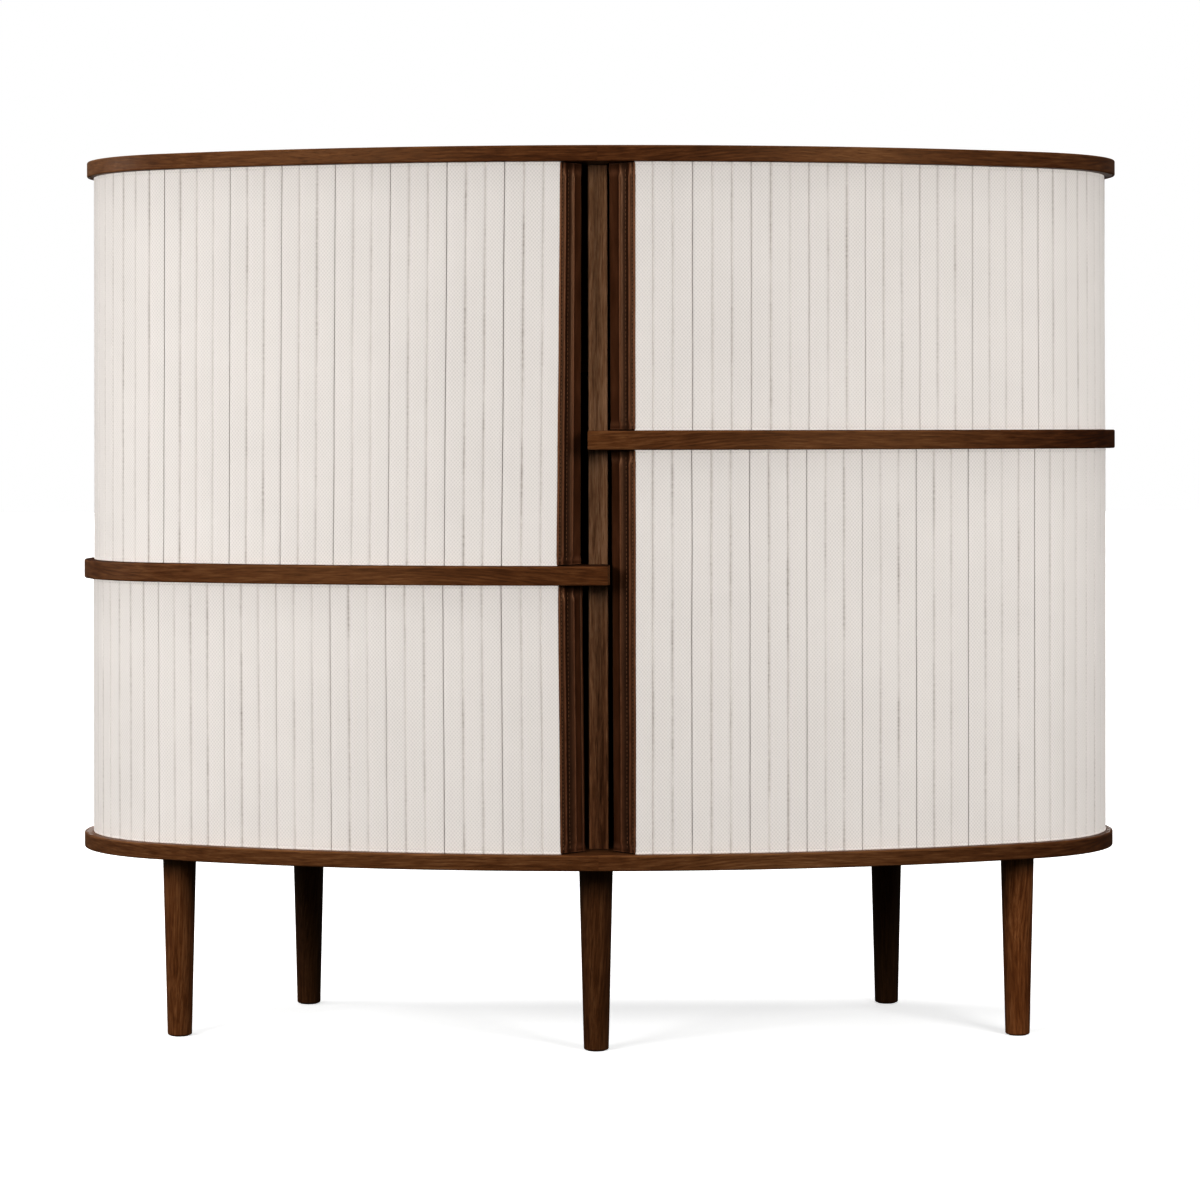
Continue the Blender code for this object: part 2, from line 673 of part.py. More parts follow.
def build_curtain(name, side, floor, ceiling, fabric, leather):
    """One tambour curtain: its leather pull and eight groups of slats, each on its own turning point."""
    low = floor + RUNNING_GAP
    high = ceiling - RUNNING_GAP
    for number, (start, count) in enumerate(group_spans(), 1):
        pole, angle = group_pole(start, count)
        origin = (side * pole.x, pole.y, low)
        plan = mirrored(slats_outline(start, count), side)
        label = f"{name}_slats_{number}"
        slats = place_object(label, stack_mesh(label, [[(low, plan), (high, plan)]]), origin, fabric)
        if number == 1 or start >= TRACK_JUNCTION:
            tongues = []
            for i in range(count):
                tongue = mirrored(tongue_outline(start + i * SLAT_PITCH), side)
                tongues.append([(low - TONGUE_HEIGHT, tongue), (low + TONGUE_HEIGHT, tongue)])
                tongues.append([(high - TONGUE_HEIGHT, tongue), (high + TONGUE_HEIGHT, tongue)])
            cut(slats, label + "_tongues", stack_mesh(label + "_tongues", tongues), "UNION")
        if number == 1:
            plan = mirrored(pull_outline(), side)
            label = name + "_pull"
            place_object(label, stack_mesh(label, [[(low, plan), (high, plan)]]), origin, leather)


def build_legs(wood, metal):
    """Five tapered legs, each with its glide pressed in under the foot, and the bolts that hold them."""
    top = LEG_HEIGHT - JOINT_GAP
    bore = BOLT_RADIUS + BOLT_CLEARANCE
    bore_low = top - BOLT_IN_LEG - BOLT_CLEARANCE
    round_share = LEG_FOOT_ROUND / math.sqrt(2)
    profile = [
        (0, 0),
        (GLIDE_RADIUS, 0),
        (GLIDE_RADIUS, GLIDE_PROUD),
        (LEG_FOOT_RADIUS - LEG_FOOT_ROUND, GLIDE_PROUD),
        (LEG_FOOT_RADIUS - LEG_FOOT_ROUND + round_share, GLIDE_PROUD + LEG_FOOT_ROUND - round_share),
        (LEG_FOOT_RADIUS, GLIDE_PROUD + LEG_FOOT_ROUND),
        (LEG_TOP_RADIUS, top),
        (bore, top),
        (bore, bore_low),
        (0, bore_low),
    ]
    bolt_low = top - BOLT_IN_LEG
    bolt_high = BASE_LOW + BOLT_IN_BASE
    bolt = [(0, bolt_low), (BOLT_RADIUS, bolt_low), (BOLT_RADIUS, bolt_high), (0, bolt_high)]
    for name, centre in leg_centres().items():
        mesh = turned_mesh(name + "_leg", profile, [centre], LEG_SIDES)
        place_object(name + "_leg", mesh, (*centre, 0), wood)
        label = name + "_leg_bolt"
        place_object(label, turned_mesh(label, bolt, [centre], PIN_SIDES), (*centre, bolt_low), metal)


def main():
    clear_scene()
    wood = make_material("dark_oak", (0.075, 0.028, 0.012), 0.45)
    inner_wood = make_material("inner_oak", (0.085, 0.034, 0.015), 0.55)
    fabric = make_material("off_white_fabric", (0.76, 0.71, 0.67), 0.90)
    leather = make_material("brown_leather", (0.050, 0.018, 0.009), 0.35)
    metal = make_material("zinc_steel", (0.55, 0.55, 0.56), 0.40, 1.0)
    build_boards(wood)
    build_carcass(wood, inner_wood)
    build_loose_shelves(inner_wood)
    for name, side, floor, ceiling, holds_shelf in BAYS:
        build_curtain(name, side, floor, ceiling, fabric, leather)
    build_legs(wood, metal)


main()
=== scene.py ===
import json
import math
import random

import bmesh
import bpy
from mathutils import Matrix, Vector, noise

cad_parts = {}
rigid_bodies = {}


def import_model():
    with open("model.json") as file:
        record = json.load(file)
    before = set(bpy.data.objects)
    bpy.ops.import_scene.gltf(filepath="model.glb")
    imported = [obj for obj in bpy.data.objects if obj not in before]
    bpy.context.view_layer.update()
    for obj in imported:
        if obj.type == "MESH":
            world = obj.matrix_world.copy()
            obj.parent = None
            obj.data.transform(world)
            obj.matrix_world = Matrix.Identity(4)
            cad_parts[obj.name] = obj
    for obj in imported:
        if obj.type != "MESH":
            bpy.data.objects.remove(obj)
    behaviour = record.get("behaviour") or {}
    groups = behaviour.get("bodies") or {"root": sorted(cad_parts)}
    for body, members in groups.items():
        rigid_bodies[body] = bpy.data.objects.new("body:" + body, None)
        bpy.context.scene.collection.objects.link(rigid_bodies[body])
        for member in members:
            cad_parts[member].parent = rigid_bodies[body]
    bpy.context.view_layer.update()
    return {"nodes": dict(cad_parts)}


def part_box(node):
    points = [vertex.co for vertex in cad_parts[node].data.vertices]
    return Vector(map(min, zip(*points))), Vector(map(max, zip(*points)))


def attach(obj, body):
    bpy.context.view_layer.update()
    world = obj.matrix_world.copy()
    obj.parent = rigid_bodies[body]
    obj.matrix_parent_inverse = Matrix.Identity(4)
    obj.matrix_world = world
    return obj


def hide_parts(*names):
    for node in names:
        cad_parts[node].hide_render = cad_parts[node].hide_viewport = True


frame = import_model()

# Plan of the cabinet, in metres, the same values as in the CAD source
WIDTH = 1.3
DEPTH = 0.534
END_RADIUS = 0.212
DIVIDER_THICK = 0.024
DIVIDER_SETBACK = 0.07
SHELL_THICK = 0.007
SHELL_INSET = 0.002
SHELL_START_ANGLE = math.radians(99.5)
JOINT_GAP = 0.0003
FABRIC_INSET = 0.011
CURTAIN_THICK = 0.008
SLAT_PITCH = 0.0234
SLAT_BEVEL = 0.004
CANVAS_DEPTH = 0.003
FIRST_SLAT_START = 0.044
TAIL_ANGLE = math.radians(101.0)
LEAD_SLATS = 3
MIDDLE_GROUPS = 6
LEAD_SPARE = 0.01
GROOVE_DEPTH = 0.006
GROOVE_NEAR = 0.0015
GROOVE_FAR = 0.0065
GROOVE_END_SPARE = 0.008
TONGUE_SIDE_CLEARANCE = 0.0007
TONGUE_HEIGHT = 0.0045
TONGUE_END_MARGIN = 0.0055
PULL_SINK = 0.028
PULL_THICK = 0.0055

END_X = WIDTH / 2 - END_RADIUS
END_Y = DEPTH / 2 - END_RADIUS
FRONT_TO_END_CENTRE = DEPTH - END_RADIUS
FRONT_RADIUS = (FRONT_TO_END_CENTRE**2 + END_X**2 - END_RADIUS**2) / (2 * (FRONT_TO_END_CENTRE - END_RADIUS))
FRONT_Y = FRONT_RADIUS - DEPTH / 2
JUNCTION_ANGLE = math.asin(END_X / (FRONT_RADIUS - END_RADIUS))
HALF_DIVIDER = DIVIDER_THICK / 2
DIVIDER_FRONT_Y = DIVIDER_SETBACK - DEPTH / 2
SHELL_OUTER_RADIUS = END_RADIUS - SHELL_INSET
SHELL_INNER_RADIUS = SHELL_OUTER_RADIUS - SHELL_THICK
TRACK_FRONT_RADIUS = FRONT_RADIUS - FABRIC_INSET
TRACK_END_RADIUS = END_RADIUS - FABRIC_INSET
TRACK_JUNCTION = TRACK_FRONT_RADIUS * JUNCTION_ANGLE
FRONT_SLATS = math.ceil((TRACK_JUNCTION - FIRST_SLAT_START) / SLAT_PITCH)
TAIL_TRACK = TRACK_JUNCTION + TRACK_END_RADIUS * (TAIL_ANGLE - JUNCTION_ANGLE)
TAIL_SLATS = math.ceil((TAIL_TRACK - FIRST_SLAT_START) / SLAT_PITCH) - FRONT_SLATS
TRAVEL = TRACK_JUNCTION - FIRST_SLAT_START - LEAD_SLATS * SLAT_PITCH - LEAD_SPARE

# How the curtains hang: side, lean towards the middle, random seed, how far the fabric's border and the seams stand
# off their places, the seams' stretch, and at foot and head the pull's tip and the shift of the fabric's far stretch
BAYS = {
    "upper_left": (-1, 0.0052, 11, 0.0017, -0.0013, -0.01, 0.02, 0.0182, -0.0002, 0.0),
    "lower_left": (-1, -0.0022, 12, 0.0014, 0.0, 0.007, 0.0152, 0.018, -0.0014, -0.0012),
    "upper_right": (1, -0.0004, 13, 0.0, -0.0015, 0.01, 0.0141, 0.013, 0.001, 0.0),
    "lower_right": (1, -0.0004, 14, -0.0002, -0.0024, -0.004, 0.0172, 0.0152, 0.0008, 0.0014),
}
END_SHIFT_PLACES = (0.45, 0.65, 0.85, 1.0)
FACE_LIFT = 0.0025
LIFT_FADE = (0.12, 0.33)
STRETCH_START = 0.067
STRETCH_REACH = 0.4
SHIFT_FADE = (0.62, 0.76)

# How far the ends of each board stand off their places, sideways
BOARD_SHIFTS = {"top_board": 0.0023, "base_board": -0.0018, "left_shelf_board": -0.0016, "right_shelf_board": 0.0018}
BOARD_SHIFT_START = 0.4

# How far each leg stands off its centre, sideways
LEG_SHIFTS = {"front": -0.0035, "left_side": -0.002, "right_side": -0.0012, "left_rear": -0.0046, "right_rear": -0.004}

# How much lighter or darker than the rest the wood is, along each board and on each leg: on the boards partly the
# wood's own tone and partly painted highlights and painted shade; on the legs painted light and shade
BOARD_TONES_AND_SHADING = {
    "top_board": (
        (-0.65, 0.62), (-0.62, 0.55), (-0.57, -0.1), (-0.49, 0.22), (-0.38, 0.05), (-0.25, -0.08), (-0.13, -0.3),
        (0.13, -0.28), (0.25, -0.05), (0.32, 0.38), (0.4, -0.08), (0.5, -0.25), (0.58, 0.02), (0.65, 0.1),
    ),
    "base_board": (
        (-0.65, 0.4), (-0.6, 0.3), (-0.38, 0.28), (-0.19, 0.35), (0.0, 0.1), (0.19, 0.6), (0.38, 0.28),
        (0.5, 0.0), (0.63, -0.2),
    ),
    "left_shelf_board": ((-0.65, 0.2), (-0.5, 0.05), (-0.38, 0.28), (-0.19, 0.15), (0.02, -0.15)),
    "right_shelf_board": ((-0.02, 0.22), (0.19, 0.05), (0.38, 0.28), (0.5, -0.22), (0.62, -0.85), (0.65, -0.95)),
}
# Painted light and shade up the divider, by level: darker towards its foot, lighter in the middle
DIVIDER_PAINTED_SHADING = ((0.24, -0.85), (0.31, -0.7), (0.43, -0.28), (0.52, 0.15), (0.6, 0.32), (0.72, 0.32), (1.07, 0.16))
# Painted shade on the shelves' top faces, and how far under the top it starts
SHELF_TOP_SHADE = -0.75
SHELF_TOP_SHADE_DEPTH = 0.0006
# Painted light and shade on the legs: the side legs lit lighter, the rear legs in painted shade
LEG_PAINTED_SHADING = {"front": -0.15, "left_side": 0.35, "right_side": 0.97, "left_rear": -0.25, "right_rear": -0.55}

# Legs: their foot, and the felt glide's profile of radius and level
LEG_SIDES = 56
FOOT_RADIUS = 0.015
FOOT_LEVEL = 0.001
FOOT_BEND = 0.0022
GLIDE_RECESS = 0.0118
GLIDE_PROFILE = ((0.0108, 0.0), (0.0113, 0.0004), (0.0114, 0.0021))

# Finish of the wood: its eased edges, how far the grain sways, and its tones from dark to light
EDGE_EASE = 0.0017
EASE_STEPS = 3
LIP_WIDTH = 0.0055
WEAR_FADE = 0.0014
CUT_SPARE = 0.002
GRAIN_SWAY = 0.06
POST_SWAY = 0.012
OAK_TONES = ((0.053, 0.0155, 0.0032), (0.097, 0.0335, 0.0092), (0.154, 0.065, 0.0235))
POST_TONES = ((0.125, 0.05, 0.02), (0.255, 0.12, 0.056), (0.4, 0.215, 0.115))
INNER_LIGHTER = 1.15
OAK_TINT = (1.0, 0.62, 0.34, 1.0)

# Finish of the fabric
SEAM_DEPTH = 0.0009
SEAM_GAP = 0.0001
SLAT_CROWN = 0.0003
SLAT_TILT = 0.00022
SEAM_WANDER = 0.0004
ROW_PITCH = 0.018
TONGUE_GAP = 0.0001
HEM_STITCH_ROW = 0.0034
HEM_STITCH_WIDTH = 0.0009
HEM_STITCH_PITCH = 0.0034
HEM_REACH = 0.00038
HEM_ROWS = 0.014
NO_HEM = 0.008
# The way from the hem's end, and the depth that the hem adds there
HEM_RELIEF = (
    (0.0, 0.0), (0.0005, -0.0002), (0.0014, -0.0003), (0.0026, -0.0002), (0.0034, 0.0001), (0.0042, 0.0), (0.006, 0.0),
)
# The basket weave's cells and threads, across and up
CELL_SIZE = (0.00415, 0.00475)
THREAD_PITCH = (0.00069, 0.00079)
FABRIC_COLOUR = (0.8, 0.756, 0.718)
# Colour of the painted shade in the seams
SEAM_SHADE_COLOUR = (0.13, 0.082, 0.06)
CANVAS_TONES = ((0.2, 0.125, 0.07), (0.33, 0.225, 0.135))

# Face of one slat: way from the near seam, share of the seam's depth, and the seam's painted shade there
SEAM_SHAPE = ((0.0, 1.0, 1.0), (0.0004, 0.74, 0.9), (0.0009, 0.42, 0.6), (0.0016, 0.18, 0.3),
              (0.0026, 0.05, 0.1), (0.004, 0.0, 0.0))
FACE_SHARES = (0.3, 0.5, 0.7)
# Where two groups meet, one's fabric reaches under the other's edge: way back from the seam, and depth
FLAP = ((0.0006, 0.0021), (-0.0003, 0.0018), (-0.0003, 0.0015), (0.0004, 0.0015))
# How much of its painted seam shade a group's outer edges keep
BORDER_SEAM_SHADE = 0.3
UNDERCUT = ((0.002, 0.003), (0.002, 0.00125))

# The pulls: where they start, their gaps to the boards, their rows of points and the folds of their ends
PULL_ROOT = 0.0002
PULL_FOOT_GAP = 0.0012
PULL_HEAD_GAP = 0.0007
PULL_ROW_PITCH = 0.006
PULL_ROW_START = 0.0055
PULL_EDGES = (0.0, 0.0006, 0.0016, 0.003)
PULL_RIPPLE = 0.00035
HEM_FOLD_TOP = 0.0105
HEM_FOLD_FOOT = 0.0065
FOLD_FADE = 0.004
ROLL_WIDTH = 0.0045
ROLLED_PULLS = ("lower_left",)
# Across the slant: way from the fabric, height over the slant, wear and painted shade in the valleys; then the same in
# from a rolled tip
PULL_SHAPE = (
    (0.0, -0.001, 0.2, 0.5), (0.0003, 0.0002, 0.7, 0.0), (0.001, 0.0009, 1.0, 0.0),
    (0.0018, 0.0009, 0.6, 0.0), (0.0026, 0.0004, 0.0, 0.3), (0.0036, -0.0002, 0.0, 1.0),
    (0.0044, -0.0003, 0.0, 1.0), (0.0052, 0.0004, 0.0, 0.7), (0.0062, 0.0013, 0.0, 0.2),
    (0.0071, 0.0021, 0.6, 0.0), (0.0079, 0.0024, 1.0, 0.0), (0.0087, 0.0021, 0.6, 0.0),
    (0.0096, 0.0013, 0.0, 0.2), (0.0108, 0.0004, 0.0, 0.6), (0.0122, -0.0002, 0.0, 0.9),
    (0.0138, -0.0005, 0.0, 1.0), (0.0151, -0.0007, 0.0, 1.0), (0.016, -0.0007, 0.0, 1.0),
    (0.0172, -0.0004, 0.0, 0.9), (0.019, -0.0001, 0.0, 0.7), (0.0208, 0.0004, 0.0, 0.5),
    (0.0222, 0.0012, 0.0, 0.2), (0.0232, 0.0021, 0.6, 0.0), (0.024, 0.0024, 1.0, 0.0),
    (0.0248, 0.0021, 0.6, 0.0), (0.0257, 0.0012, 0.0, 0.1), (0.0268, 0.0004, 0.0, 0.2),
    (0.0292, 0.0, 0.0, 0.0), (0.032, 0.0, 0.0, 0.0), (0.0345, 0.0, 0.0, 0.0),
)
ROLLED_TIP = (
    (0.004, 0.0, 0.0, 0.4), (0.0033, -0.0004, 0.0, 1.0), (0.0026, 0.0003, 0.2, 0.2), (0.0016, 0.0008, 0.9, 0.0),
    (0.0007, 0.0005, 0.5, 0.0),
)
# Rows of stitches: way from the fabric, pitch, and the margin at the ends
STITCH_ROWS = ((0.0042, 0.0047, 0.003), (0.0156, 0.0052, 0.004))
STITCH_SHARE = 0.36
STITCH_THICK = 0.0005
LEATHER_TONES = ((0.042, 0.0125, 0.0038), (0.068, 0.0235, 0.0085), (0.107, 0.041, 0.0175))
WORN_LEATHER = (0.205, 0.093, 0.048)
# Colour of the painted shade in the pull's valleys
LEATHER_VALLEY_SHADE = (0.014, 0.0045, 0.0016)
LEATHER_TINT = (1.0, 0.6, 0.36, 1.0)
THREAD_TONES = ((0.105, 0.045, 0.02), (0.27, 0.138, 0.07))

# Zinc of the bolts, felt of the glides, and the floor
ZINC_TONES = ((0.44, 0.45, 0.47), (0.66, 0.66, 0.66))
FELT_TONES = ((0.012, 0.01, 0.009), (0.04, 0.035, 0.032))
FLOOR_TONES = ((0.9, 0.9, 0.895), (0.92, 0.92, 0.915))
FLOOR_REACH = 30.0
FLOOR_GLOW = 0.65
WHITE = (1.0, 1.0, 1.0, 1.0)

# The photograph's camera: its place, turn and roll, its lens in mm, and the horizon's row in the photograph
CAMERA_PLACE = (0.02784, -DEPTH / 2 - 4.64192, 0.75118)
CAMERA_YAW = 0.00541
CAMERA_ROLL = -0.00177
CAMERA_LENS = 117.402
HORIZON_ROW = 427.94
PHOTO_SIZE = 1200.0

# Studio lamps: name, place, width and height; where they aim, and their powers on the fabric and on the rest
LAMPS = (
    ("left_front", (-1.75, -2.3, 1.35), 1.2, 1.0),
    ("right_front", (1.65, -2.3, 1.35), 1.0, 1.0),
    ("left_side", (-2.7, -0.1, 1.3), 1.5, 1.0),
    ("right_side", (2.7, -0.3, 1.3), 1.2, 1.0),
)
LAMP_AIM = (0.0, 0.0, 0.75)
FABRIC_LAMP_HEIGHT = 0.8
FABRIC_POWERS = (43.0, 35.0, 22.0, 19.5)
CENTRE_POWER = 10.0
LAMP_POWERS = (48.0, 40.0, 22.0, 0.5)
REAR_POWER = 50.0
REAR_SIDE_POWER = 18.0
OVERHEAD_POWER = 2.0
OVERHEAD_SPREAD = math.radians(50.0)

# Contrast of the photograph, and light of the surroundings beside the studio lamps
VIEW_GAMMA = 0.8
RING_ANGLES = (-180.0, -130.0, -80.0, -40.0, 0.0, 40.0, 80.0, 130.0, 180.0)
RING_LIGHT = (0.15, 0.2, 0.55, 0.35, 0.3, 0.35, 0.42, 0.15, 0.15)
WORLD_ABOVE = 0.15
WORLD_BELOW = 0.03
LOWER_EDGE = (-0.15, 0.0)
UPPER_EDGE = (0.25, 0.7)


# Node materials


class Nodes:
    """Adds nodes to a tree; the methods take numbers or sockets and give the new node's output."""

    def __init__(self, tree):
        self.tree = tree

    def add(self, kind, output, inputs=None, **settings):
        """A node of a kind with its inputs and settings."""
        item = self.tree.nodes.new("ShaderNode" + kind)
        for key, value in settings.items():
            setattr(item, key, value)
        for key, value in (inputs or {}).items():
            if isinstance(value, bpy.types.NodeSocket):
                self.tree.links.new(value, item.inputs[key])
            else:
                item.inputs[key].default_value = value
        return item.outputs[output]

    def math(self, operation, *values):
        return self.add("Math", 0, dict(enumerate(values)), operation=operation)

    def times(self, first, second):
        return self.math("MULTIPLY", first, second)

    def times_plus(self, first, second, third):
        return self.math("MULTIPLY_ADD", first, second, third)

    def scaled(self, vector, factor):
        return self.add("VectorMath", 0, {0: vector, "Scale": factor}, operation="SCALE")

    def split(self, vector):
        """The three values of a vector."""
        return list(self.add("SeparateXYZ", 0, {0: vector}).node.outputs)

    def noise(self, place, scale, detail=3.0, roughness=0.5, distortion=0.0):
        """Noise at one scale, or stretched by a scale for each axis."""
        if not isinstance(scale, float):
            place, scale = self.add("Mapping", 0, {"Vector": place, "Scale": scale}), 1.0
        inputs = {"Vector": place, "Scale": scale, "Detail": detail, "Roughness": roughness, "Distortion": distortion}
        return self.add("TexNoise", "Fac", inputs)

    def stray(self, place, scale, detail, width):
        """A place moved about by noise, over a width."""
        away = self.add("TexNoise", "Color", {"Vector": place, "Scale": scale, "Detail": detail})
        away = self.add("VectorMath", 0, {0: away, 1: (0.5, 0.5, 0.5)}, operation="SUBTRACT")
        return self.add("VectorMath", 0, {0: place, 1: self.scaled(away, width)}, operation="ADD")

    def mapped(self, value, *limits):
        """A value mapped and held: the limits are from low, from high, to low and to high."""
        return self.add("MapRange", "Result", dict(enumerate((value, *limits))))

    def mix(self, factor, first, second):
        """Two colours mixed by a factor; 6, 7 and 2 are the colour sockets of a Mix node."""
        first, second = [(*c, 1.0) if isinstance(c, (tuple, list)) else c for c in (first, second)]
        return self.add("Mix", 2, {0: factor, 6: first, 7: second}, data_type="RGBA")

    def ramp(self, value, *stops):
        """Colours along a value, each stop with its place."""
        socket = self.add("ValToRGB", "Color", {"Fac": value})
        elements = socket.node.color_ramp.elements
        while len(elements) < len(stops):
            elements.new(0.5)
        for element, (place, colour) in zip(elements, stops):
            element.position = place
            element.color = (*colour, 1.0)
        return socket

    def named(self, name):
        """The value of a mesh attribute."""
        return self.add("Attribute", "Fac", attribute_name=name)


class Surface(Nodes):
    """A new material, placed by the mesh's map in metres or in space."""

    def __init__(self, name, on_map=True):
        self.material = bpy.data.materials.new(name)
        self.material.use_nodes = True
        super().__init__(self.material.node_tree)
        self.place = self.add("UVMap", "UV", uv_map="grain") if on_map else self.add("TexCoord", "Object")

    def finish(self, colour, rough, bump=None, settings=None):
        """Joins colour, roughness and bump (height, strength, distance) to the shader, and sets it."""
        shader = self.tree.nodes["Principled BSDF"]
        sockets = {"Base Color": colour, "Roughness": rough}
        if bump:
            sockets["Normal"] = self.add("Bump", "Normal", dict(zip(("Height", "Strength", "Distance"), bump)))
        for key, socket in sockets.items():
            self.tree.links.new(socket, shader.inputs[key])
        for key, value in (settings or {}).items():
            shader.inputs[key].default_value = value
        return self.material


def oak_material(name, grain, tones, gloss=0.42, sway=GRAIN_SWAY):
    """Stained oak; grain is 'uv' for the map that runs along each board, or the axis of the grain in space."""
    new = Surface(name, on_map=grain == "uv")
    axis = 0 if grain == "uv" else "xyz".index(grain)
    place = new.stray(new.place, 2.2, 1.0, sway)

    def stretched(along, across, *settings):
        return new.noise(place, [along if i == axis else across for i in range(3)], *settings)

    figure = stretched(7.0, 95.0, 4.0, 0.6, 0.4)
    streak = stretched(26.0, 430.0, 3.0, 0.65, 0.2)
    pore = stretched(80.0, 1700.0, 1.0)
    patch = stretched(1.6, 9.0, 2.0)
    blend = new.times_plus(streak, 0.75, new.times(figure, 0.35))
    blend = new.times_plus(patch, 0.2, new.math("SUBTRACT", blend, 0.15))
    dark, middle, light = tones
    tone = new.ramp(blend, (0.36, dark), (0.5, middle), (0.66, light))
    pores = new.mapped(pore, 0.58, 0.7, 0.0, 1.0)
    tone = new.mix(new.times(pores, 0.45), tone, [0.45 * value for value in dark])
    wear = new.times(new.named("wear"), new.mapped(streak, 0.3, 0.7, 0.06, 0.24))
    tone = new.mix(wear, tone, [1.5 * value for value in light])
    # The tone value carries painted light and shade given per piece, mixed with the wood's own tone along the boards
    shaded = new.named("tone")
    if grain == "uv":
        tone = new.add("Gamma", "Color", {"Color": tone, "Gamma": new.times_plus(shaded, -0.35, 1.0)})
    else:
        tone = new.scaled(tone, new.math("ADD", shaded, 1.0))
    rough = new.mapped(streak, 0.25, 0.75, gloss - 0.07, gloss + 0.11)
    rough = new.math("ADD", rough, new.mapped(shaded, -0.9, -0.3, 0.35, 0.0))
    height = new.math("SUBTRACT", new.times(streak, 0.5), new.times(pores, 0.6))
    return new.finish(tone, rough, (height, 0.5, 0.00025), {"Specular IOR Level": 0.27, "Specular Tint": OAK_TINT})


def fabric_material():
    """Off-white basket weave, with painted shade in the seams, and a stitched hem."""
    new = Surface("off_white_fabric_weave")
    across, up, _ = new.split(new.stray(new.place, 420.0, 2.0, 0.0006))

    def wave(value, period):
        return new.math("COSINE", new.times(value, 2 * math.pi / period))

    def threads(value, period):
        return new.math("ABSOLUTE", new.math("SINE", new.times(value, math.pi / period)))

    cells = new.times(wave(across, CELL_SIZE[0]), wave(up, CELL_SIZE[1]))
    over = new.mapped(cells, -0.35, 0.35, 0.0, 1.0)
    standing, lying = threads(across, THREAD_PITCH[0]), threads(up, THREAD_PITCH[1])
    yarn = new.times_plus(new.math("SUBTRACT", lying, standing), over, standing)
    relief = new.times_plus(cells, 0.38, new.times(yarn, 0.45))
    relief = new.times_plus(new.noise(new.place, 1500.0, 2.0), 0.25, relief)
    shade = new.mapped(relief, -0.25, 0.85, 0.755, 1.09)
    cloud = new.noise(new.place, 9.0)
    shade = new.times(shade, new.mapped(cloud, 0.3, 0.7, 0.975, 1.02))

    # How strong the painted shade in the seams is, varied along them and by the weave
    run = new.noise(new.place, (45.0, 11.0, 1.0))
    speck = new.noise(new.place, (60.0, 240.0, 1.0), 1.0)
    depth = new.times(new.mapped(run, 0.36, 0.64, 0.1, 0.42), new.mapped(speck, 0.3, 0.7, 0.6, 1.25))
    depth = new.times(depth, new.mapped(cells, -0.6, 0.6, 0.7, 1.3))

    row = new.math("COMPARE", new.named("hem"), HEM_STITCH_ROW, HEM_STITCH_WIDTH / 2)
    beat = new.math("FRACT", new.times(across, 1 / HEM_STITCH_PITCH))
    stitch = new.times(row, new.math("LESS_THAN", beat, 0.72))
    shade = new.times(shade, new.math("SUBTRACT", 1.0, new.times(stitch, 0.1)))
    relief = new.math("SUBTRACT", relief, new.times(stitch, 0.5))
    colour = new.mix(shade, (0.0, 0.0, 0.0), FABRIC_COLOUR)
    # The seam value paints shade into the seams' grooves
    colour = new.mix(new.times(new.named("seam"), depth), colour, SEAM_SHADE_COLOUR)
    settings = {"Sheen Weight": 0.12, "Sheen Roughness": 0.5, "Specular IOR Level": 0.25}
    return new.finish(colour, new.mapped(yarn, 0.0, 1.0, 0.95, 0.82), (relief, 0.55, 0.0003), settings)


def canvas_material():
    """Unbleached canvas on the back of the slats, with their wood showing through."""
    new = Surface("curtain_backing")
    streak = new.noise(new.place, (420.0, 16.0, 1.0))
    weave = new.noise(new.place, (1500.0, 1500.0, 1.0), 1.0)
    tone = new.ramp(streak, *zip((0.3, 0.7), CANVAS_TONES))
    return new.finish(tone, new.mapped(weave, 0.3, 0.7, 0.6, 0.8), (weave, 0.3, 0.0002))


def leather_material():
    """Glossy brown leather, rubbed lighter on its ridges, with painted shade in the stitched valleys."""
    new = Surface("brown_leather_grain")
    cells = new.add("TexVoronoi", "Distance", {"Vector": new.place, "Scale": 900.0}, feature="F1")
    wrinkle = new.noise(new.place, (260.0, 90.0, 1.0), 4.0, 0.6)
    tone = new.noise(new.place, (60.0, 14.0, 1.0), 4.0, 0.6)
    colour = new.ramp(tone, *zip((0.3, 0.52, 0.75), LEATHER_TONES))
    wear = new.times(new.named("wear"), new.mapped(wrinkle, 0.3, 0.7, 0.25, 0.75))
    colour = new.mix(wear, colour, WORN_LEATHER)
    # Painted shade in the valleys between the ridges
    colour = new.mix(new.times(new.named("crease"), 0.75), colour, LEATHER_VALLEY_SHADE)
    height = new.times_plus(wrinkle, 0.8, new.times(cells, 0.5))
    settings = {"Specular IOR Level": 0.36, "Specular Tint": LEATHER_TINT}
    return new.finish(colour, new.mapped(wrinkle, 0.3, 0.7, 0.3, 0.44), (height, 0.35, 0.0003), settings)


def speckled_material(name, scale, detail, tones, rough, bump=(), settings=None):
    """Two tones clouded by one noise, which also sets the roughness and any bump."""
    item = Surface(name, on_map=False)
    cloud = item.noise(item.place, scale, detail)
    colour = item.ramp(cloud, *zip((0.3, 0.7), tones))
    return item.finish(colour, item.mapped(cloud, 0.3, 0.7, *rough), bump and (cloud, *bump), settings)


# Plan curves


def spread(start, end, steps):
    """Evenly spaced values, both ends included."""
    return [start + (end - start) * i / steps for i in range(steps + 1)]


def mirrored(points, side):
    """Plan points of the right side, turned over for the left one."""
    return [(side * x, y) for x, y in points]


def front_point(angle, radius):
    """A point round the front arc's centre, by its angle from the middle."""
    return (radius * math.sin(angle), FRONT_Y - radius * math.cos(angle))


def end_point(angle, radius):
    """A point round the right end's centre, by its angle from straight ahead."""
    return (END_X + radius * math.sin(angle), END_Y - radius * math.cos(angle))


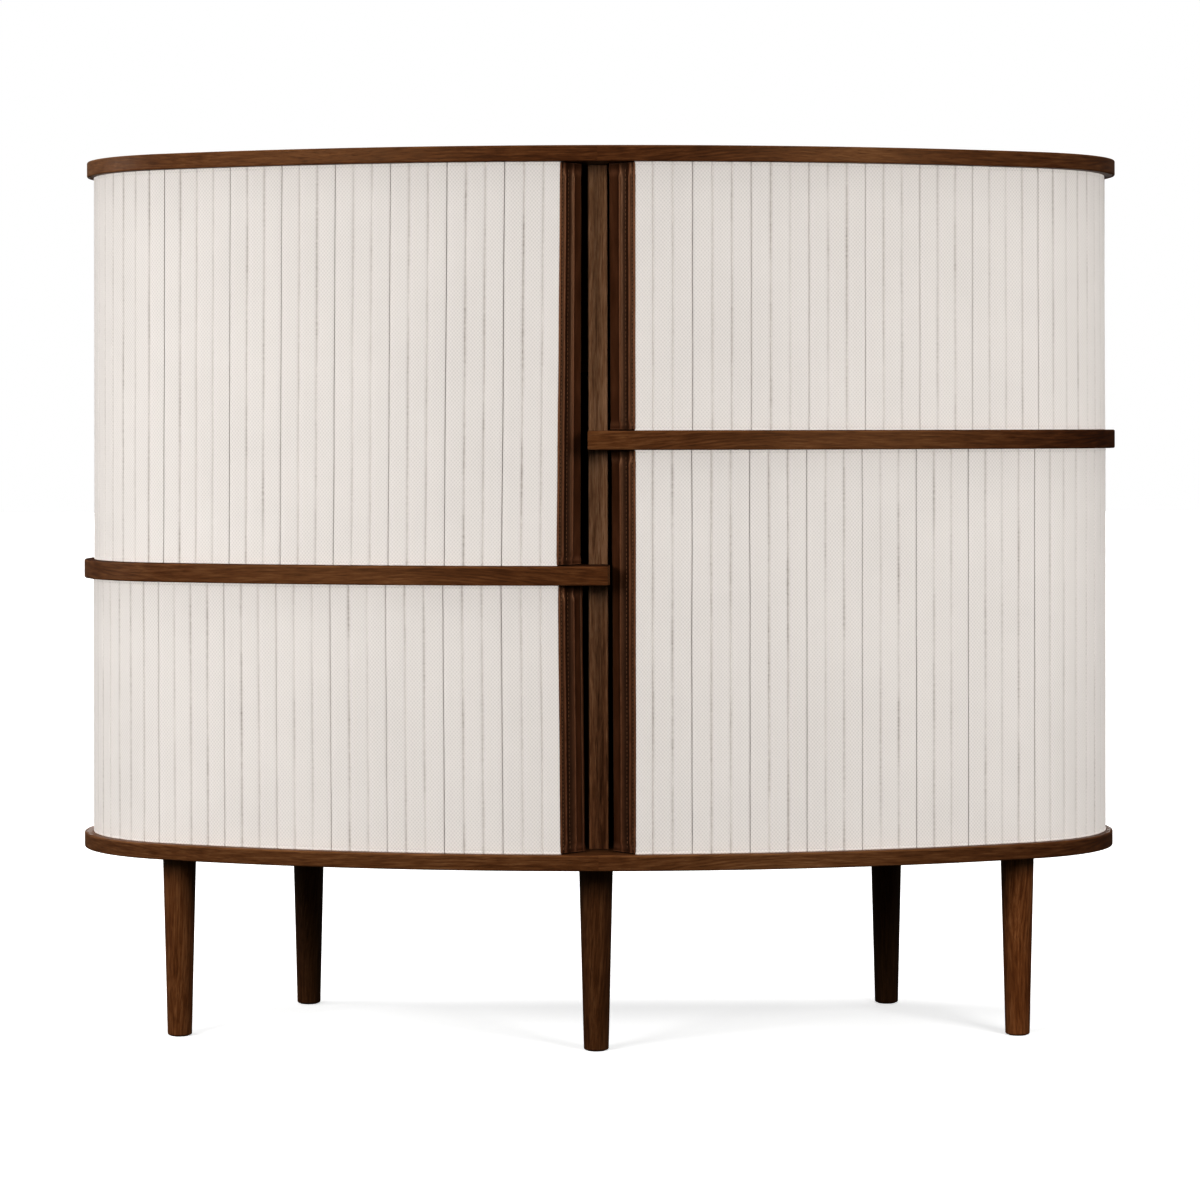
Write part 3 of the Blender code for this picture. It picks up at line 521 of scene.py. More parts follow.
def track_point(travelled, sunk=0.0):
    """A point of the right track, by the way along the fabric and the depth behind it."""
    if travelled <= TRACK_JUNCTION:
        return front_point(travelled / TRACK_FRONT_RADIUS, TRACK_FRONT_RADIUS - sunk)
    angle = JUNCTION_ANGLE + (travelled - TRACK_JUNCTION) / TRACK_END_RADIUS
    return end_point(angle, TRACK_END_RADIUS - sunk)


def edge_points(inset, start, end, end_steps):
    """The right side's edge, from an angle of the front arc to an angle of the end arc."""
    front = [front_point(a, FRONT_RADIUS - inset) for a in spread(start, JUNCTION_ANGLE, 44)]
    return front + [end_point(a, END_RADIUS - inset) for a in spread(JUNCTION_ANGLE, end, end_steps)[1:]]


def full_outline(inset):
    """The whole outline of the top and base boards."""
    right = edge_points(inset, 0, math.pi, 48)
    return right + mirrored(right[:0:-1], -1)


def shelf_outline(inset):
    """The right shelf board: it covers the divider's front and stops inside the back shell."""
    nose_angle = math.asin((HALF_DIVIDER - inset) / (FRONT_RADIUS - inset))
    nose_back_y = DIVIDER_FRONT_Y - JOINT_GAP - inset
    side_x = HALF_DIVIDER + JOINT_GAP + inset
    back_radius = SHELL_INNER_RADIUS - JOINT_GAP - inset
    step_angle = SHELL_START_ANGLE - (JOINT_GAP + inset) / END_RADIUS
    behind = [end_point(a, back_radius) for a in spread(step_angle, math.pi, 24)]
    inner = [(side_x, END_Y + back_radius), (side_x, nose_back_y), (inset - HALF_DIVIDER, nose_back_y)]
    return edge_points(inset, -nose_angle, step_angle, 32) + behind + inner


def groove_outline():
    """Plan outline of the track groove of the right side."""
    near = FIRST_SLAT_START
    far = FIRST_SLAT_START + (FRONT_SLATS + TAIL_SLATS) * SLAT_PITCH + TRAVEL + GROOVE_END_SPARE
    places = spread(near, TRACK_JUNCTION, 40) + spread(TRACK_JUNCTION, far, 60)[1:]
    outer = [track_point(s, GROOVE_NEAR) for s in places]
    inner = [track_point(s, GROOVE_FAR) for s in places]
    return outer + inner[::-1]


def clamped(value):
    """A value held between 0 and 1."""
    return min(1.0, max(0.0, value))


def on_curve(curve, x):
    """The value at x of a curve of straight stretches, level beyond its ends."""
    if x <= curve[0][0]:
        return curve[0][1]
    for (start, first, *_), (end, second, *_) in zip(curve, curve[1:]):
        if x <= end:
            return first + (second - first) * (x - start) / (end - start)
    return curve[-1][1]


# Mesh pieces


class Form:
    """Collects points, faces, a map in metres and named values for one mesh."""

    def __init__(self):
        self.points, self.faces, self.maps, self.materials = [], [], [], []
        self.values = {}

    def add_point(self, point):
        self.points.append(point)
        return len(self.points) - 1

    def add_face(self, corners, places, material=0):
        self.faces.append(corners)
        self.maps.append(places)
        self.materials.append(material)

    def loft(self, rings, along, heights, values=None, cap_map=None, material=0, face_material=None):
        """Joins closed rings of points and caps the ends; along and heights give the map."""
        index = []
        for r, ring in enumerate(rings):
            index.append([self.add_point(point) for point in ring])
            for name, rows in (values or {}).items():
                self.values.setdefault(name, {}).update(zip(index[-1], rows[r]))
        for lower, upper, low, high in zip(index, index[1:], heights, heights[1:]):
            for i in range(len(lower)):
                j = (i + 1) % len(lower)
                places = [(along[i], low), (along[i + 1], low), (along[i + 1], high), (along[i], high)]
                chosen = face_material[i] if face_material else material
                self.add_face([lower[i], lower[j], upper[j], upper[i]], places, chosen)
        flat = cap_map or (lambda point: point[:2])
        for corners, ring in ((index[0][::-1], rings[0][::-1]), (index[-1], rings[-1])):
            self.add_face(corners, [flat(point) for point in ring], material)

    def extrude(self, plan, levels, heights=None, **settings):
        """An upright solid of a closed plan, with a ring of points at each level."""
        rings = [[(x, y, level) for x, y in plan] for level in levels]
        self.loft(rings, running_length(plan), heights or levels, **settings)

    def build(self, name, materials, sharp=35.0):
        """The object of this form, with smooth faces and sharp edges over an angle."""
        mesh = bpy.data.meshes.new(name)
        mesh.from_pydata(self.points, [], self.faces)
        flat = [value for places in self.maps for place in places for value in place]
        mesh.uv_layers.new(name="grain").data.foreach_set("uv", flat)
        for key, given in self.values.items():
            values = [given.get(i, 0.0) for i in range(len(self.points))]
            mesh.attributes.new(key, "FLOAT", "POINT").data.foreach_set("value", values)
        for item in materials:
            mesh.materials.append(item)
        mesh.polygons.foreach_set("material_index", self.materials)
        shape = bmesh.new()
        shape.from_mesh(mesh)
        bmesh.ops.recalc_face_normals(shape, faces=shape.faces)
        shape.to_mesh(mesh)
        shape.free()
        mesh.shade_smooth()
        mesh.set_sharp_from_angle(angle=math.radians(sharp))
        return place_object(name, mesh)


def place_object(name, data, place=(0.0, 0.0, 0.0)):
    """Adds an object with its data at a place."""
    item = bpy.data.objects.new(name, data)
    item.location = place
    bpy.context.scene.collection.objects.link(item)
    return item


def running_length(points):
    """The way along a closed ring of plan points at each point, and back at the start."""
    total = [0.0]
    for first, second in zip(points, points[1:] + points[:1]):
        total.append(total[-1] + math.dist(first[:2], second[:2]))
    return total


def ease_profile(low, high):
    """Inset, level and wear of the rings round a board, from its under face to its top face."""
    turn = spread(0, math.pi / 2, EASE_STEPS)
    under = [(LIP_WIDTH, low, 0.0), (EDGE_EASE + WEAR_FADE, low, 0.0)]
    under += [(EDGE_EASE * (1 - math.sin(a)), low + EDGE_EASE * (1 - math.cos(a)), 1.0) for a in turn]
    under.append((0.0, low + EDGE_EASE + WEAR_FADE, 0.0))
    return under + [(inset, low + high - level, wear) for inset, level, wear in under[::-1]]


def board(name, outline, low, high, material, shift, side=1):
    """A board with eased, worn edges; its grain runs along the edge and the faces."""
    profile = ease_profile(low, high)
    rings = []
    for inset, level, _ in profile:
        plan = mirrored(outline(inset), side)
        rings.append([(x + shift * clamped(abs(x) / BOARD_SHIFT_START), y, level) for x, y in plan])
    wears = [[wear] * len(rings[0]) for *_, wear in profile]
    form = Form()
    form.loft(
        rings, running_length(rings[4]), running_length(profile), {"wear": wears},
        cap_map=lambda point: (point[0], point[1] + 2.0 + high),
    )
    return form.build(name, [material], 45.0)


def upright(name, plan, low, high, material, wears=None, steps=1):
    """An upright panel of a closed plan, its grain vertical."""
    form = Form()
    form.extrude(plan, spread(low, high, steps), values={"wear": [wears] * (steps + 1)} if wears else None)
    form.maps = [[(v, u) for u, v in places] for places in form.maps]
    return form.build(name, [material], 45.0)


def carve(item, plans, low, high):
    """Cuts grooves of the given plans out of an object's mesh."""
    form = Form()
    for plan in plans:
        form.extrude(plan, (low, high), (0.0, high - low))
    tool = form.build(item.name + "_groove_tool", [item.data.materials[0]])
    boolean = item.modifiers.new("groove", "BOOLEAN")
    boolean.operation = "DIFFERENCE"
    boolean.solver = "EXACT"
    boolean.object = tool
    carved = bpy.data.meshes.new_from_object(item.evaluated_get(bpy.context.evaluated_depsgraph_get()))
    item.modifiers.clear()
    old = item.data
    item.data = carved
    carved.name = item.name
    bpy.data.meshes.remove(old)
    bpy.data.objects.remove(tool)
    carved.set_sharp_from_angle(angle=math.radians(45.0))


def dress(item, *nodes, body="cabinet", slot="dark_oak"):
    """Puts a piece on its body and hides the CAD nodes it stands for; its slot is not used."""
    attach(item, body)
    if nodes:
        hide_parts(*nodes)


def shade(item, curve, shade_above=math.inf, axis=0):
    """Sets the wood's tone value, which carries painted light and shade: lighter or darker along an axis, and painted
    shade above a level.
    """
    places = [vertex.co for vertex in item.data.vertices]
    values = [SHELF_TOP_SHADE if place.z > shade_above else on_curve(curve, place[axis]) for place in places]
    item.data.attributes.new("tone", "FLOAT", "POINT").data.foreach_set("value", values)


def span(node):
    """Lowest and highest level of a CAD node."""
    low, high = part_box(node)
    return low.z, high.z


def build_boards(wood):
    """Top, base and shelf boards with their track grooves."""
    groove = groove_outline()
    for node, shift in BOARD_SHIFTS.items():
        low, high = span(node)
        is_shelf = "shelf" in node
        sides = (-1,) if "left" in node else (1,) if is_shelf else (1, -1)
        name = node.replace("shelf_board", "shelf") + "_oak"
        item = board(name, shelf_outline if is_shelf else full_outline, low, high, wood, shift, sides[0])
        plans = [mirrored(groove, side) for side in sides]
        if node != "base_board":
            carve(item, plans, low - CUT_SPARE, low + GROOVE_DEPTH)
        if node != "top_board":
            carve(item, plans, high - GROOVE_DEPTH, high + CUT_SPARE)
        # Painted light and shade along the board, and on a shelf painted shade on its top face
        shade(item, BOARD_TONES_AND_SHADING[node], high - SHELF_TOP_SHADE_DEPTH if is_shelf else math.inf)
        dress(item, node)


def build_lipping(wood):
    """The narrow edge block beside the left shelf's nose."""
    low, high = span("left_shelf_board")
    near, far = HALF_DIVIDER + 0.0004, HALF_DIVIDER + 0.002
    front, back = FRONT_Y - FRONT_RADIUS + 0.012, DIVIDER_FRONT_Y - 0.0005
    ease = 0.0008
    plan = [(near, back), (near, front), (far - ease, front), (far, front + ease), (far, back)]
    dress(upright("left_shelf_lipping", plan, low + 0.0003, high - 0.0003, wood))


def build_divider(wood):
    """The centre divider with a solid, rounded front edge."""
    back_y = END_Y + SHELL_INNER_RADIUS - JOINT_GAP
    radius, flat = 0.0018, 0.0015
    centre_x, centre_y = HALF_DIVIDER - radius, DIVIDER_FRONT_Y + radius
    turn = spread(0, math.pi / 2, 4)
    right = [(centre_x - flat, DIVIDER_FRONT_Y)]
    right += [(centre_x + radius * math.sin(a), centre_y - radius * math.cos(a)) for a in turn]
    right += [(HALF_DIVIDER, centre_y + flat), (HALF_DIVIDER, back_y)]
    wears = [0.0] + [1.0] * len(turn) + [0.0, 0.0]
    plan = right + mirrored(right[::-1], -1)
    item = upright("centre_divider_oak", plan, *span("centre_divider"), wood, wears + wears[::-1], steps=16)
    # Painted shade, darker towards the divider's foot
    shade(item, DIVIDER_PAINTED_SHADING, axis=2)
    dress(item, "centre_divider")


def build_shell(wood):
    """The bent back shell."""
    angles = spread(SHELL_START_ANGLE, math.pi, 40)
    outer, inner = [[end_point(a, radius) for a in angles] for radius in (SHELL_OUTER_RADIUS, SHELL_INNER_RADIUS)]
    plan = outer + mirrored(outer[::-1], -1) + mirrored(inner, -1) + inner[::-1]
    dress(upright("back_shell_oak", plan, *span("back_shell"), wood), "back_shell")


def turned(name, centre, profile, material, wears=None):
    """A turned piece: a profile of radius and level round an upright axis."""
    circle = [2 * math.pi * i / LEG_SIDES for i in range(LEG_SIDES)]
    rings = [
        [(centre.x + radius * math.cos(a), centre.y + radius * math.sin(a), level) for a in circle]
        for radius, level in profile
    ]
    values = {"wear": [[wear] * LEG_SIDES for wear in wears]} if wears else None
    form = Form()
    form.loft(rings, running_length(rings[-1]), [level for _, level in profile], values)
    return form.build(name, [material], 50.0)


def build_legs(wood, felt):
    """Turned legs, each with a felt glide in its foot."""
    for name, tone in LEG_PAINTED_SHADING.items():
        low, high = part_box(name + "_leg")
        centre = (low + high) / 2
        centre.x += LEG_SHIFTS[name]
        top_radius = (high.x - low.x) / 2
        foot, proud, bend = FOOT_RADIUS, FOOT_LEVEL, FOOT_BEND
        turn = spread(0, math.pi / 2, 5)
        profile = [(GLIDE_RECESS, proud + 0.0012), (GLIDE_RECESS, proud)]
        profile += [(foot - bend + bend * math.sin(a), proud + bend - bend * math.cos(a)) for a in turn]
        for share in spread(0.0, 1.0, 8)[1:]:
            profile.append((foot + (top_radius - foot) * share, proud + bend + (high.z - proud - bend) * share))
        wears = [1.0 if 0 < r < 8 else 0.0 for r in range(len(profile))]
        leg = turned(name + "_leg_oak", centre, profile, wood, wears)
        # Painted light or shade for the whole leg
        shade(leg, ((centre.x, tone),))
        dress(leg, name + "_leg")
        dress(turned(name + "_leg_glide", centre, GLIDE_PROFILE, felt))


# Curtains


def group_spans():
    """First slat and slat count of the leading, middle and tail groups."""
    middle = FRONT_SLATS - LEAD_SLATS
    starts = [0] + [LEAD_SLATS + i * middle // MIDDLE_GROUPS for i in range(MIDDLE_GROUPS + 1)]
    return [(start, end - start) for start, end in zip(starts, starts[1:] + [FRONT_SLATS + TAIL_SLATS])]


class Curtain:
    """One tambour curtain, with the small differences from slat to slat."""

    def __init__(self, name):
        self.name = name
        self.side, self.lean, self.seed, self.border, self.start, self.stretch, *ends = BAYS[name]
        self.tips, self.end_shifts = ends[:2], ends[2:]
        low, high = span(name + "_slats_3")
        self.low, self.high = low - HEM_REACH, high + HEM_REACH
        draw = random.Random(self.seed)
        total = FRONT_SLATS + TAIL_SLATS
        self.tilts = [draw.uniform(-1, 1) * SLAT_TILT for _ in range(total)]
        self.crowns = [SLAT_CROWN * draw.uniform(0.4, 1.2) for _ in range(total)]
        self.depths = [SEAM_DEPTH * draw.uniform(0.75, 1.25) for _ in range(total + 1)]
        # Strength of each seam's painted shade
        self.seam_shades = [draw.uniform(0.35, 1.0) for _ in range(total + 1)]
        rows = max(6, round((self.high - self.low) / ROW_PITCH))
        edges = [way for way, _ in HEM_RELIEF]
        levels = [self.low + way for way in edges] + spread(self.low + HEM_ROWS, self.high - HEM_ROWS, rows)
        self.levels = levels + [self.high - way for way in edges[::-1]]

    def share(self, level):
        """A level's share of the curtain's height."""
        return (level - self.low) / (self.high - self.low)

    def lift(self, travelled, depth):
        """How far the face stands in front of the slats' face, less towards their back."""
        begin, end = LIFT_FADE
        return FACE_LIFT * clamped((end - travelled) / (end - begin)) * (1 - clamped(depth / CURTAIN_THICK))

    def shift(self, seam, level):
        """How far a seam stands from its place at a level, away from the middle."""
        share = self.share(level) - 0.5
        wander = noise.noise(Vector((seam * 3.1, level * 9.0, self.seed))) * SEAM_WANDER
        if seam == 0:
            return self.border - self.lean * share + wander
        travelled = FIRST_SLAT_START + seam * SLAT_PITCH
        begin, end = SHIFT_FADE
        fade = clamped((end - travelled) / (end - begin))
        stretch = self.stretch * min(travelled - STRETCH_START, STRETCH_REACH)
        return (self.start + stretch) * fade - self.lean * share * max(0.3, 1 - travelled) + wander

    def end_shift(self, travelled, level):
        """How far the curtain stands off its place sideways, round the cabinet's end."""
        foot, head = self.end_shifts
        start, full, last, end = END_SHIFT_PLACES
        fade = min((travelled - start) / (full - start), (end - travelled) / (end - last))
        return (foot + (head - foot) * self.share(level)) * clamped(fade)

    def face(self, index, offset, depth, level):
        """A point by its slat, the way over it from its near seam, and the depth behind the face."""
        near, far = self.shift(index, level), self.shift(index + 1, level)
        travelled = FIRST_SLAT_START + index * SLAT_PITCH + (offset + near + (far - near) * (offset / SLAT_PITCH))
        x, y = track_point(travelled, depth - self.lift(travelled, depth))
        return (self.side * x + self.end_shift(travelled, level), y, level)


def slat_front(curtain, first, count, number):
    """Slat, way over it, depth and the seam's painted shade of the points across a group."""
    front = []
    for i in range(first, first + count):
        near_shade = curtain.seam_shades[i] * (BORDER_SEAM_SHADE if i == first else 1.0)
        far_shade = curtain.seam_shades[i + 1] * (BORDER_SEAM_SHADE if i == first + count - 1 else 1.0)
        near_depth, far_depth = curtain.depths[i], curtain.depths[i + 1]
        row = [(i, offset, depth * near_depth, dark * near_shade) for offset, depth, dark in SEAM_SHAPE]
        row += [(i, share * SLAT_PITCH, 0.0, 0.0) for share in FACE_SHARES]
        for offset, depth, dark in SEAM_SHAPE[:0:-1]:
            row.append((i, SLAT_PITCH - offset, depth * far_depth, dark * far_shade))
        if i == first:
            row[0] = (i, SEAM_GAP, *row[0][2:])
            if number > 1:
                row = row[1:]
        front += row
    return front


def build_group(curtain, number, first, count, materials):
    """One rigid group of slats under its stretch of fabric."""
    front = slat_front(curtain, first, count, number)
    last = first + count - 1
    tail = MIDDLE_GROUPS + 2
    reaches_out = curtain.stretch < 0
    near_end = () if number == 1 else UNDERCUT if reaches_out else FLAP
    far_end = () if number == tail else FLAP if reaches_out else UNDERCUT
    back = [(first, offset, depth) for offset, depth in near_end[::-1]]
    for i in range(first, last + 1):
        back += [(i, SLAT_BEVEL, CURTAIN_THICK), (i, SLAT_PITCH - SLAT_BEVEL, CURTAIN_THICK)]
        if i < last:
            back.append((i, SLAT_PITCH, CANVAS_DEPTH))
    back += [(last, SLAT_PITCH - offset, depth) for offset, depth in far_end]
    rings = []
    hems = []
    for level in curtain.levels:
        way = min(level - curtain.low, curtain.high - level)
        relief = on_curve(HEM_RELIEF, way)
        ring = []
        for i, offset, depth, _ in front:
            share = offset / SLAT_PITCH
            swell = math.sin(math.pi * clamped(share))
            depth = depth - curtain.crowns[i] * swell + curtain.tilts[i] * math.sin(2 * math.pi * share)
            ring.append(curtain.face(i, offset, depth + relief + SLAT_CROWN, level))
        rings.append(ring + [curtain.face(i, offset, depth, level) for i, offset, depth in back[::-1]])
        hems.append([min(way, NO_HEM)] * len(front) + [NO_HEM] * len(back))
    # Painted shade of the seams, for the material
    seams = [[dark for *_, dark in front] + [0.0] * len(back)] * len(rings)
    along = [FIRST_SLAT_START + i * SLAT_PITCH + offset for i, offset, *_ in front + back[::-1]]
    along.append(along[-1] - SLAT_BEVEL)
    far_lining, near_lining = [[0 if end is FLAP else 1] * 2 for end in (far_end, near_end)]
    face_material = [0] * (len(front) - 1) + far_lining + [1] * (len(back) - 3) + near_lining
    form = Form()
    form.loft(rings, along, curtain.levels, {"seam": seams, "hem": hems}, face_material=face_material, material=1)
    if number in (1, tail):
        for i in range(first, last + 1):
            add_tongues(form, curtain, i)
    item = form.build(f"{curtain.name}_fabric_{number}", materials, 40.0)
    body = curtain.name + ("_lead" if number == 1 else f"_group_{number}")
    dress(item, f"{curtain.name}_slats_{number}", body=body, slot="off_white_fabric")


def add_tongues(form, curtain, index):
    """The two tongues of a slat, which run in the grooves above and below."""
    start = FIRST_SLAT_START + index * SLAT_PITCH
    near, far = start + TONGUE_END_MARGIN, start + SLAT_PITCH - TONGUE_END_MARGIN
    outer, inner = GROOVE_NEAR + TONGUE_SIDE_CLEARANCE, GROOVE_FAR - TONGUE_SIDE_CLEARANCE
    plan = [track_point(s, d) for s, d in ((near, outer), (far, outer), (far, inner), (near, inner))]
    plan = mirrored(plan, curtain.side)
    form.extrude(plan, (curtain.low - TONGUE_HEIGHT, curtain.low - TONGUE_GAP), material=1)
    form.extrude(plan, (curtain.high + TONGUE_GAP, curtain.high + TONGUE_HEIGHT), material=1)


# Leather pulls


class Pull:
    """The leather pull of one curtain, as a surface that slants in from the fabric."""

    def __init__(self, curtain):
        self.curtain = curtain
        self.low = curtain.low + PULL_FOOT_GAP
        self.high = curtain.high - PULL_HEAD_GAP
        self.root = Vector(track_point(FIRST_SLAT_START + PULL_ROOT, -FACE_LIFT))
        self.length = self.reach((self.low + self.high) / 2).length
        along = self.reach(self.low).normalized()
        self.outward = Vector((-along.y, along.x))

    def reach(self, level):
        """The way from the fabric's border to the pull's tip, in plan, at a level."""
        foot, head = self.curtain.tips
        share = (level - self.low) / (self.high - self.low)
        tip_x = foot + (head - foot) * share - self.curtain.shift(0, level)
        return Vector((tip_x - self.root.x, PULL_SINK + FACE_LIFT))

    def fold(self, level):
        """The ridges' share of their height, less near the ends, where the padding swells and stops."""
        ways = (level - self.low - HEM_FOLD_FOOT, self.high - level - HEM_FOLD_TOP)
        swell = sum(math.exp(-((way - 0.006) / FOLD_FADE) ** 2) for way in ways)
        return 0.35 + 0.65 * clamped(min(ways) / FOLD_FADE) + 0.22 * swell

    def point(self, way, height, level):
        """A point by its way across, its height over the slant and its level."""
        ripple = noise.noise(Vector((way * 60, level * 14, self.curtain.seed))) * PULL_RIPPLE
        plan = self.root + self.reach(level) * (way / self.length)
        plan += self.outward * (height * self.fold(level) + ripple)
        return (self.curtain.side * (plan.x + self.curtain.shift(0, level)), plan.y, level)


def pull_outline(curtain, tip):
    """Way across, height, wear and painted valley shade round the pull: face, rounded tip and back."""
    half = PULL_THICK / 2
    outline = list(PULL_SHAPE)
    if curtain.name in ROLLED_PULLS:
        outline = [point for point in outline if point[0] < tip - ROLL_WIDTH]
        outline += [(tip - way, *rest) for way, *rest in ROLLED_TIP]
    for a in spread(0, math.pi, 8):
        outline.append((tip + half * math.sin(a), half * math.cos(a) - half, 0.5 * math.sin(a), 0.0))
    return outline + [(0.02, -PULL_THICK, 0.0, 0.0), (0.006, -PULL_THICK, 0.0, 0.0), (0.004, -0.0045, 0.0, 0.0)]


def build_pull(curtain, leather, thread):
    """The pull and its two rows of stitches."""
    pull = Pull(curtain)
    outline = pull_outline(curtain, pull.length - PULL_THICK / 2)
    height = pull.high - pull.low
    levels = spread(pull.low + PULL_ROW_START, pull.high - PULL_ROW_START, max(10, round(height / PULL_ROW_PITCH)))
    levels = [pull.low + way for way in PULL_EDGES] + levels + [pull.high - way for way in PULL_EDGES[::-1]]
    rings = []
    wears = []
    for level in levels:
        way_in = min(level - pull.low, pull.high - level)
        drop = 0.0006 * max(0.0, 1 - way_in / 0.0012)
        rubbed = 1.0 if way_in < 0.0007 else 0.0
        folds = (pull.high - HEM_FOLD_TOP - level, level - pull.low - HEM_FOLD_FOOT)
        if min(map(abs, folds)) < 0.003:
            rubbed = max(rubbed, 0.7)
        rings.append([pull.point(way, rise - drop, level) for way, rise, _, _ in outline])
        wears.append([max(wear, rubbed) for _, _, wear, _ in outline])
    # Painted shade in the valleys, across the pull
    valley_shades = [[crease for *_, crease in outline]] * len(rings)
    form = Form()
    form.loft(rings, [way for way, *_ in outline] + [0.0], levels, {"wear": wears, "crease": valley_shades})
    carrier = {"body": curtain.name + "_lead", "slot": "brown_leather"}
    dress(form.build(curtain.name + "_leather_pull", [leather], 60.0), curtain.name + "_pull", **carrier)
    seam = Form()
    for way, pitch, margin in STITCH_ROWS:
        for i in range(int((height - 2 * margin) / pitch)):
            add_stitch(seam, pull, way, pull.low + margin + (i + 0.5) * pitch, STITCH_SHARE * pitch)
    dress(seam.build(curtain.name + "_pull_stitches", [thread], 80.0), **carrier)


def add_stitch(form, pull, way, level, half_length):
    """One raised stitch that lies along the pull."""
    base = on_curve(PULL_SHAPE, way)
    shares = (-1.0, -0.6, 0.0, 0.6, 1.0)
    levels = [level + share * half_length for share in shares]
    rings = []
    for share, here in zip(shares, levels):
        swell = math.sqrt(max(0.04, 1 - share * share))
        ring = []
        for angle in spread(0, 2 * math.pi, 6)[:-1]:
            rise = base + STITCH_THICK * (0.25 + swell * math.sin(angle))
            ring.append(pull.point(way + STITCH_THICK * swell * math.cos(angle), rise, here))
        rings.append(ring)
    form.loft(rings, [0.0002 * i for i in range(7)], levels)


# Studio


def build_camera():
    """The photograph's camera, level, with its horizon above the middle of the frame."""
    lens = bpy.data.cameras.new("camera")
    lens.sensor_width = 36.0
    lens.lens = CAMERA_LENS
    lens.shift_y = (HORIZON_ROW - PHOTO_SIZE / 2) / PHOTO_SIZE
    lens.clip_end = 100.0
    turn = Matrix.Rotation(CAMERA_YAW, 4, "Z") @ Matrix.Rotation(math.pi / 2, 4, "X")
    item = place_object("camera", lens, CAMERA_PLACE)
    item.matrix_world = Matrix.Translation(CAMERA_PLACE) @ turn @ Matrix.Rotation(CAMERA_ROLL, 4, "Z")
    bpy.context.scene.camera = item


def add_light(name, place, width, height, power, lit, shading=None):
    """A soft light on the given pieces; shading holds those that cast shadows in it, or all do."""
    lamp = bpy.data.lights.new(name, "AREA")
    lamp.shape = "RECTANGLE"
    lamp.size = width
    lamp.size_y = height
    lamp.energy = power
    item = place_object(name, lamp, place)
    item.rotation_euler = (Vector(LAMP_AIM) - Vector(place)).to_track_quat("-Z", "Y").to_euler()
    item.light_linking.receiver_collection = lit
    item.light_linking.blocker_collection = shading


def group_pieces(name, *parts, without="studio"):
    """A collection of the meshes with any of the parts in their names."""
    group = bpy.data.collections.new(name)
    for item in bpy.context.scene.objects:
        if item.type == "MESH" and any(part in item.name for part in parts) and without not in item.name:
            group.objects.link(item)
    return group


def build_world():
    """White to the camera; else a ring of light round the horizon, even above, dark below."""
    world = bpy.data.worlds.new("studio")
    world.use_nodes = True
    sky = Nodes(world.node_tree)
    background = sky.tree.nodes["Background"]
    background.inputs["Color"].default_value = WHITE
    east, north, up = sky.split(sky.add("TexCoord", "Generated"))
    heading = sky.math("ARCTAN2", east, sky.times(north, -1.0))
    peak = max(RING_LIGHT)
    stops = [(0.5 + angle / 360.0, (light / peak,) * 3) for angle, light in zip(RING_ANGLES, RING_LIGHT)]
    ring = sky.times(sky.ramp(sky.times_plus(heading, 0.5 / math.pi, 0.5), *stops), peak)
    lower = sky.times(sky.mapped(up, *LOWER_EDGE, WORLD_BELOW, 1.0), ring)
    side = sky.times(lower, sky.mapped(up, *UPPER_EDGE, 1.0, 0.0))
    light = sky.math("ADD", side, sky.mapped(up, *UPPER_EDGE, 0.0, WORLD_ABOVE))
    seen = sky.add("LightPath", "Is Camera Ray")
    sky.tree.links.new(sky.math("MAXIMUM", light, seen), background.inputs["Strength"])
    bpy.context.scene.world = world


def build_floor(material):
    """The floor, which the pieces neither mirror nor take light from."""
    form = Form()
    corners = [(x * FLOOR_REACH, y * FLOOR_REACH) for x, y in ((-1, -1), (1, -1), (1, 1), (-1, 1))]
    form.add_face([form.add_point((x, y, 0.0)) for x, y in corners], corners)
    ground = form.build("studio_floor", [material])
    ground.visible_diffuse = False
    ground.visible_glossy = False


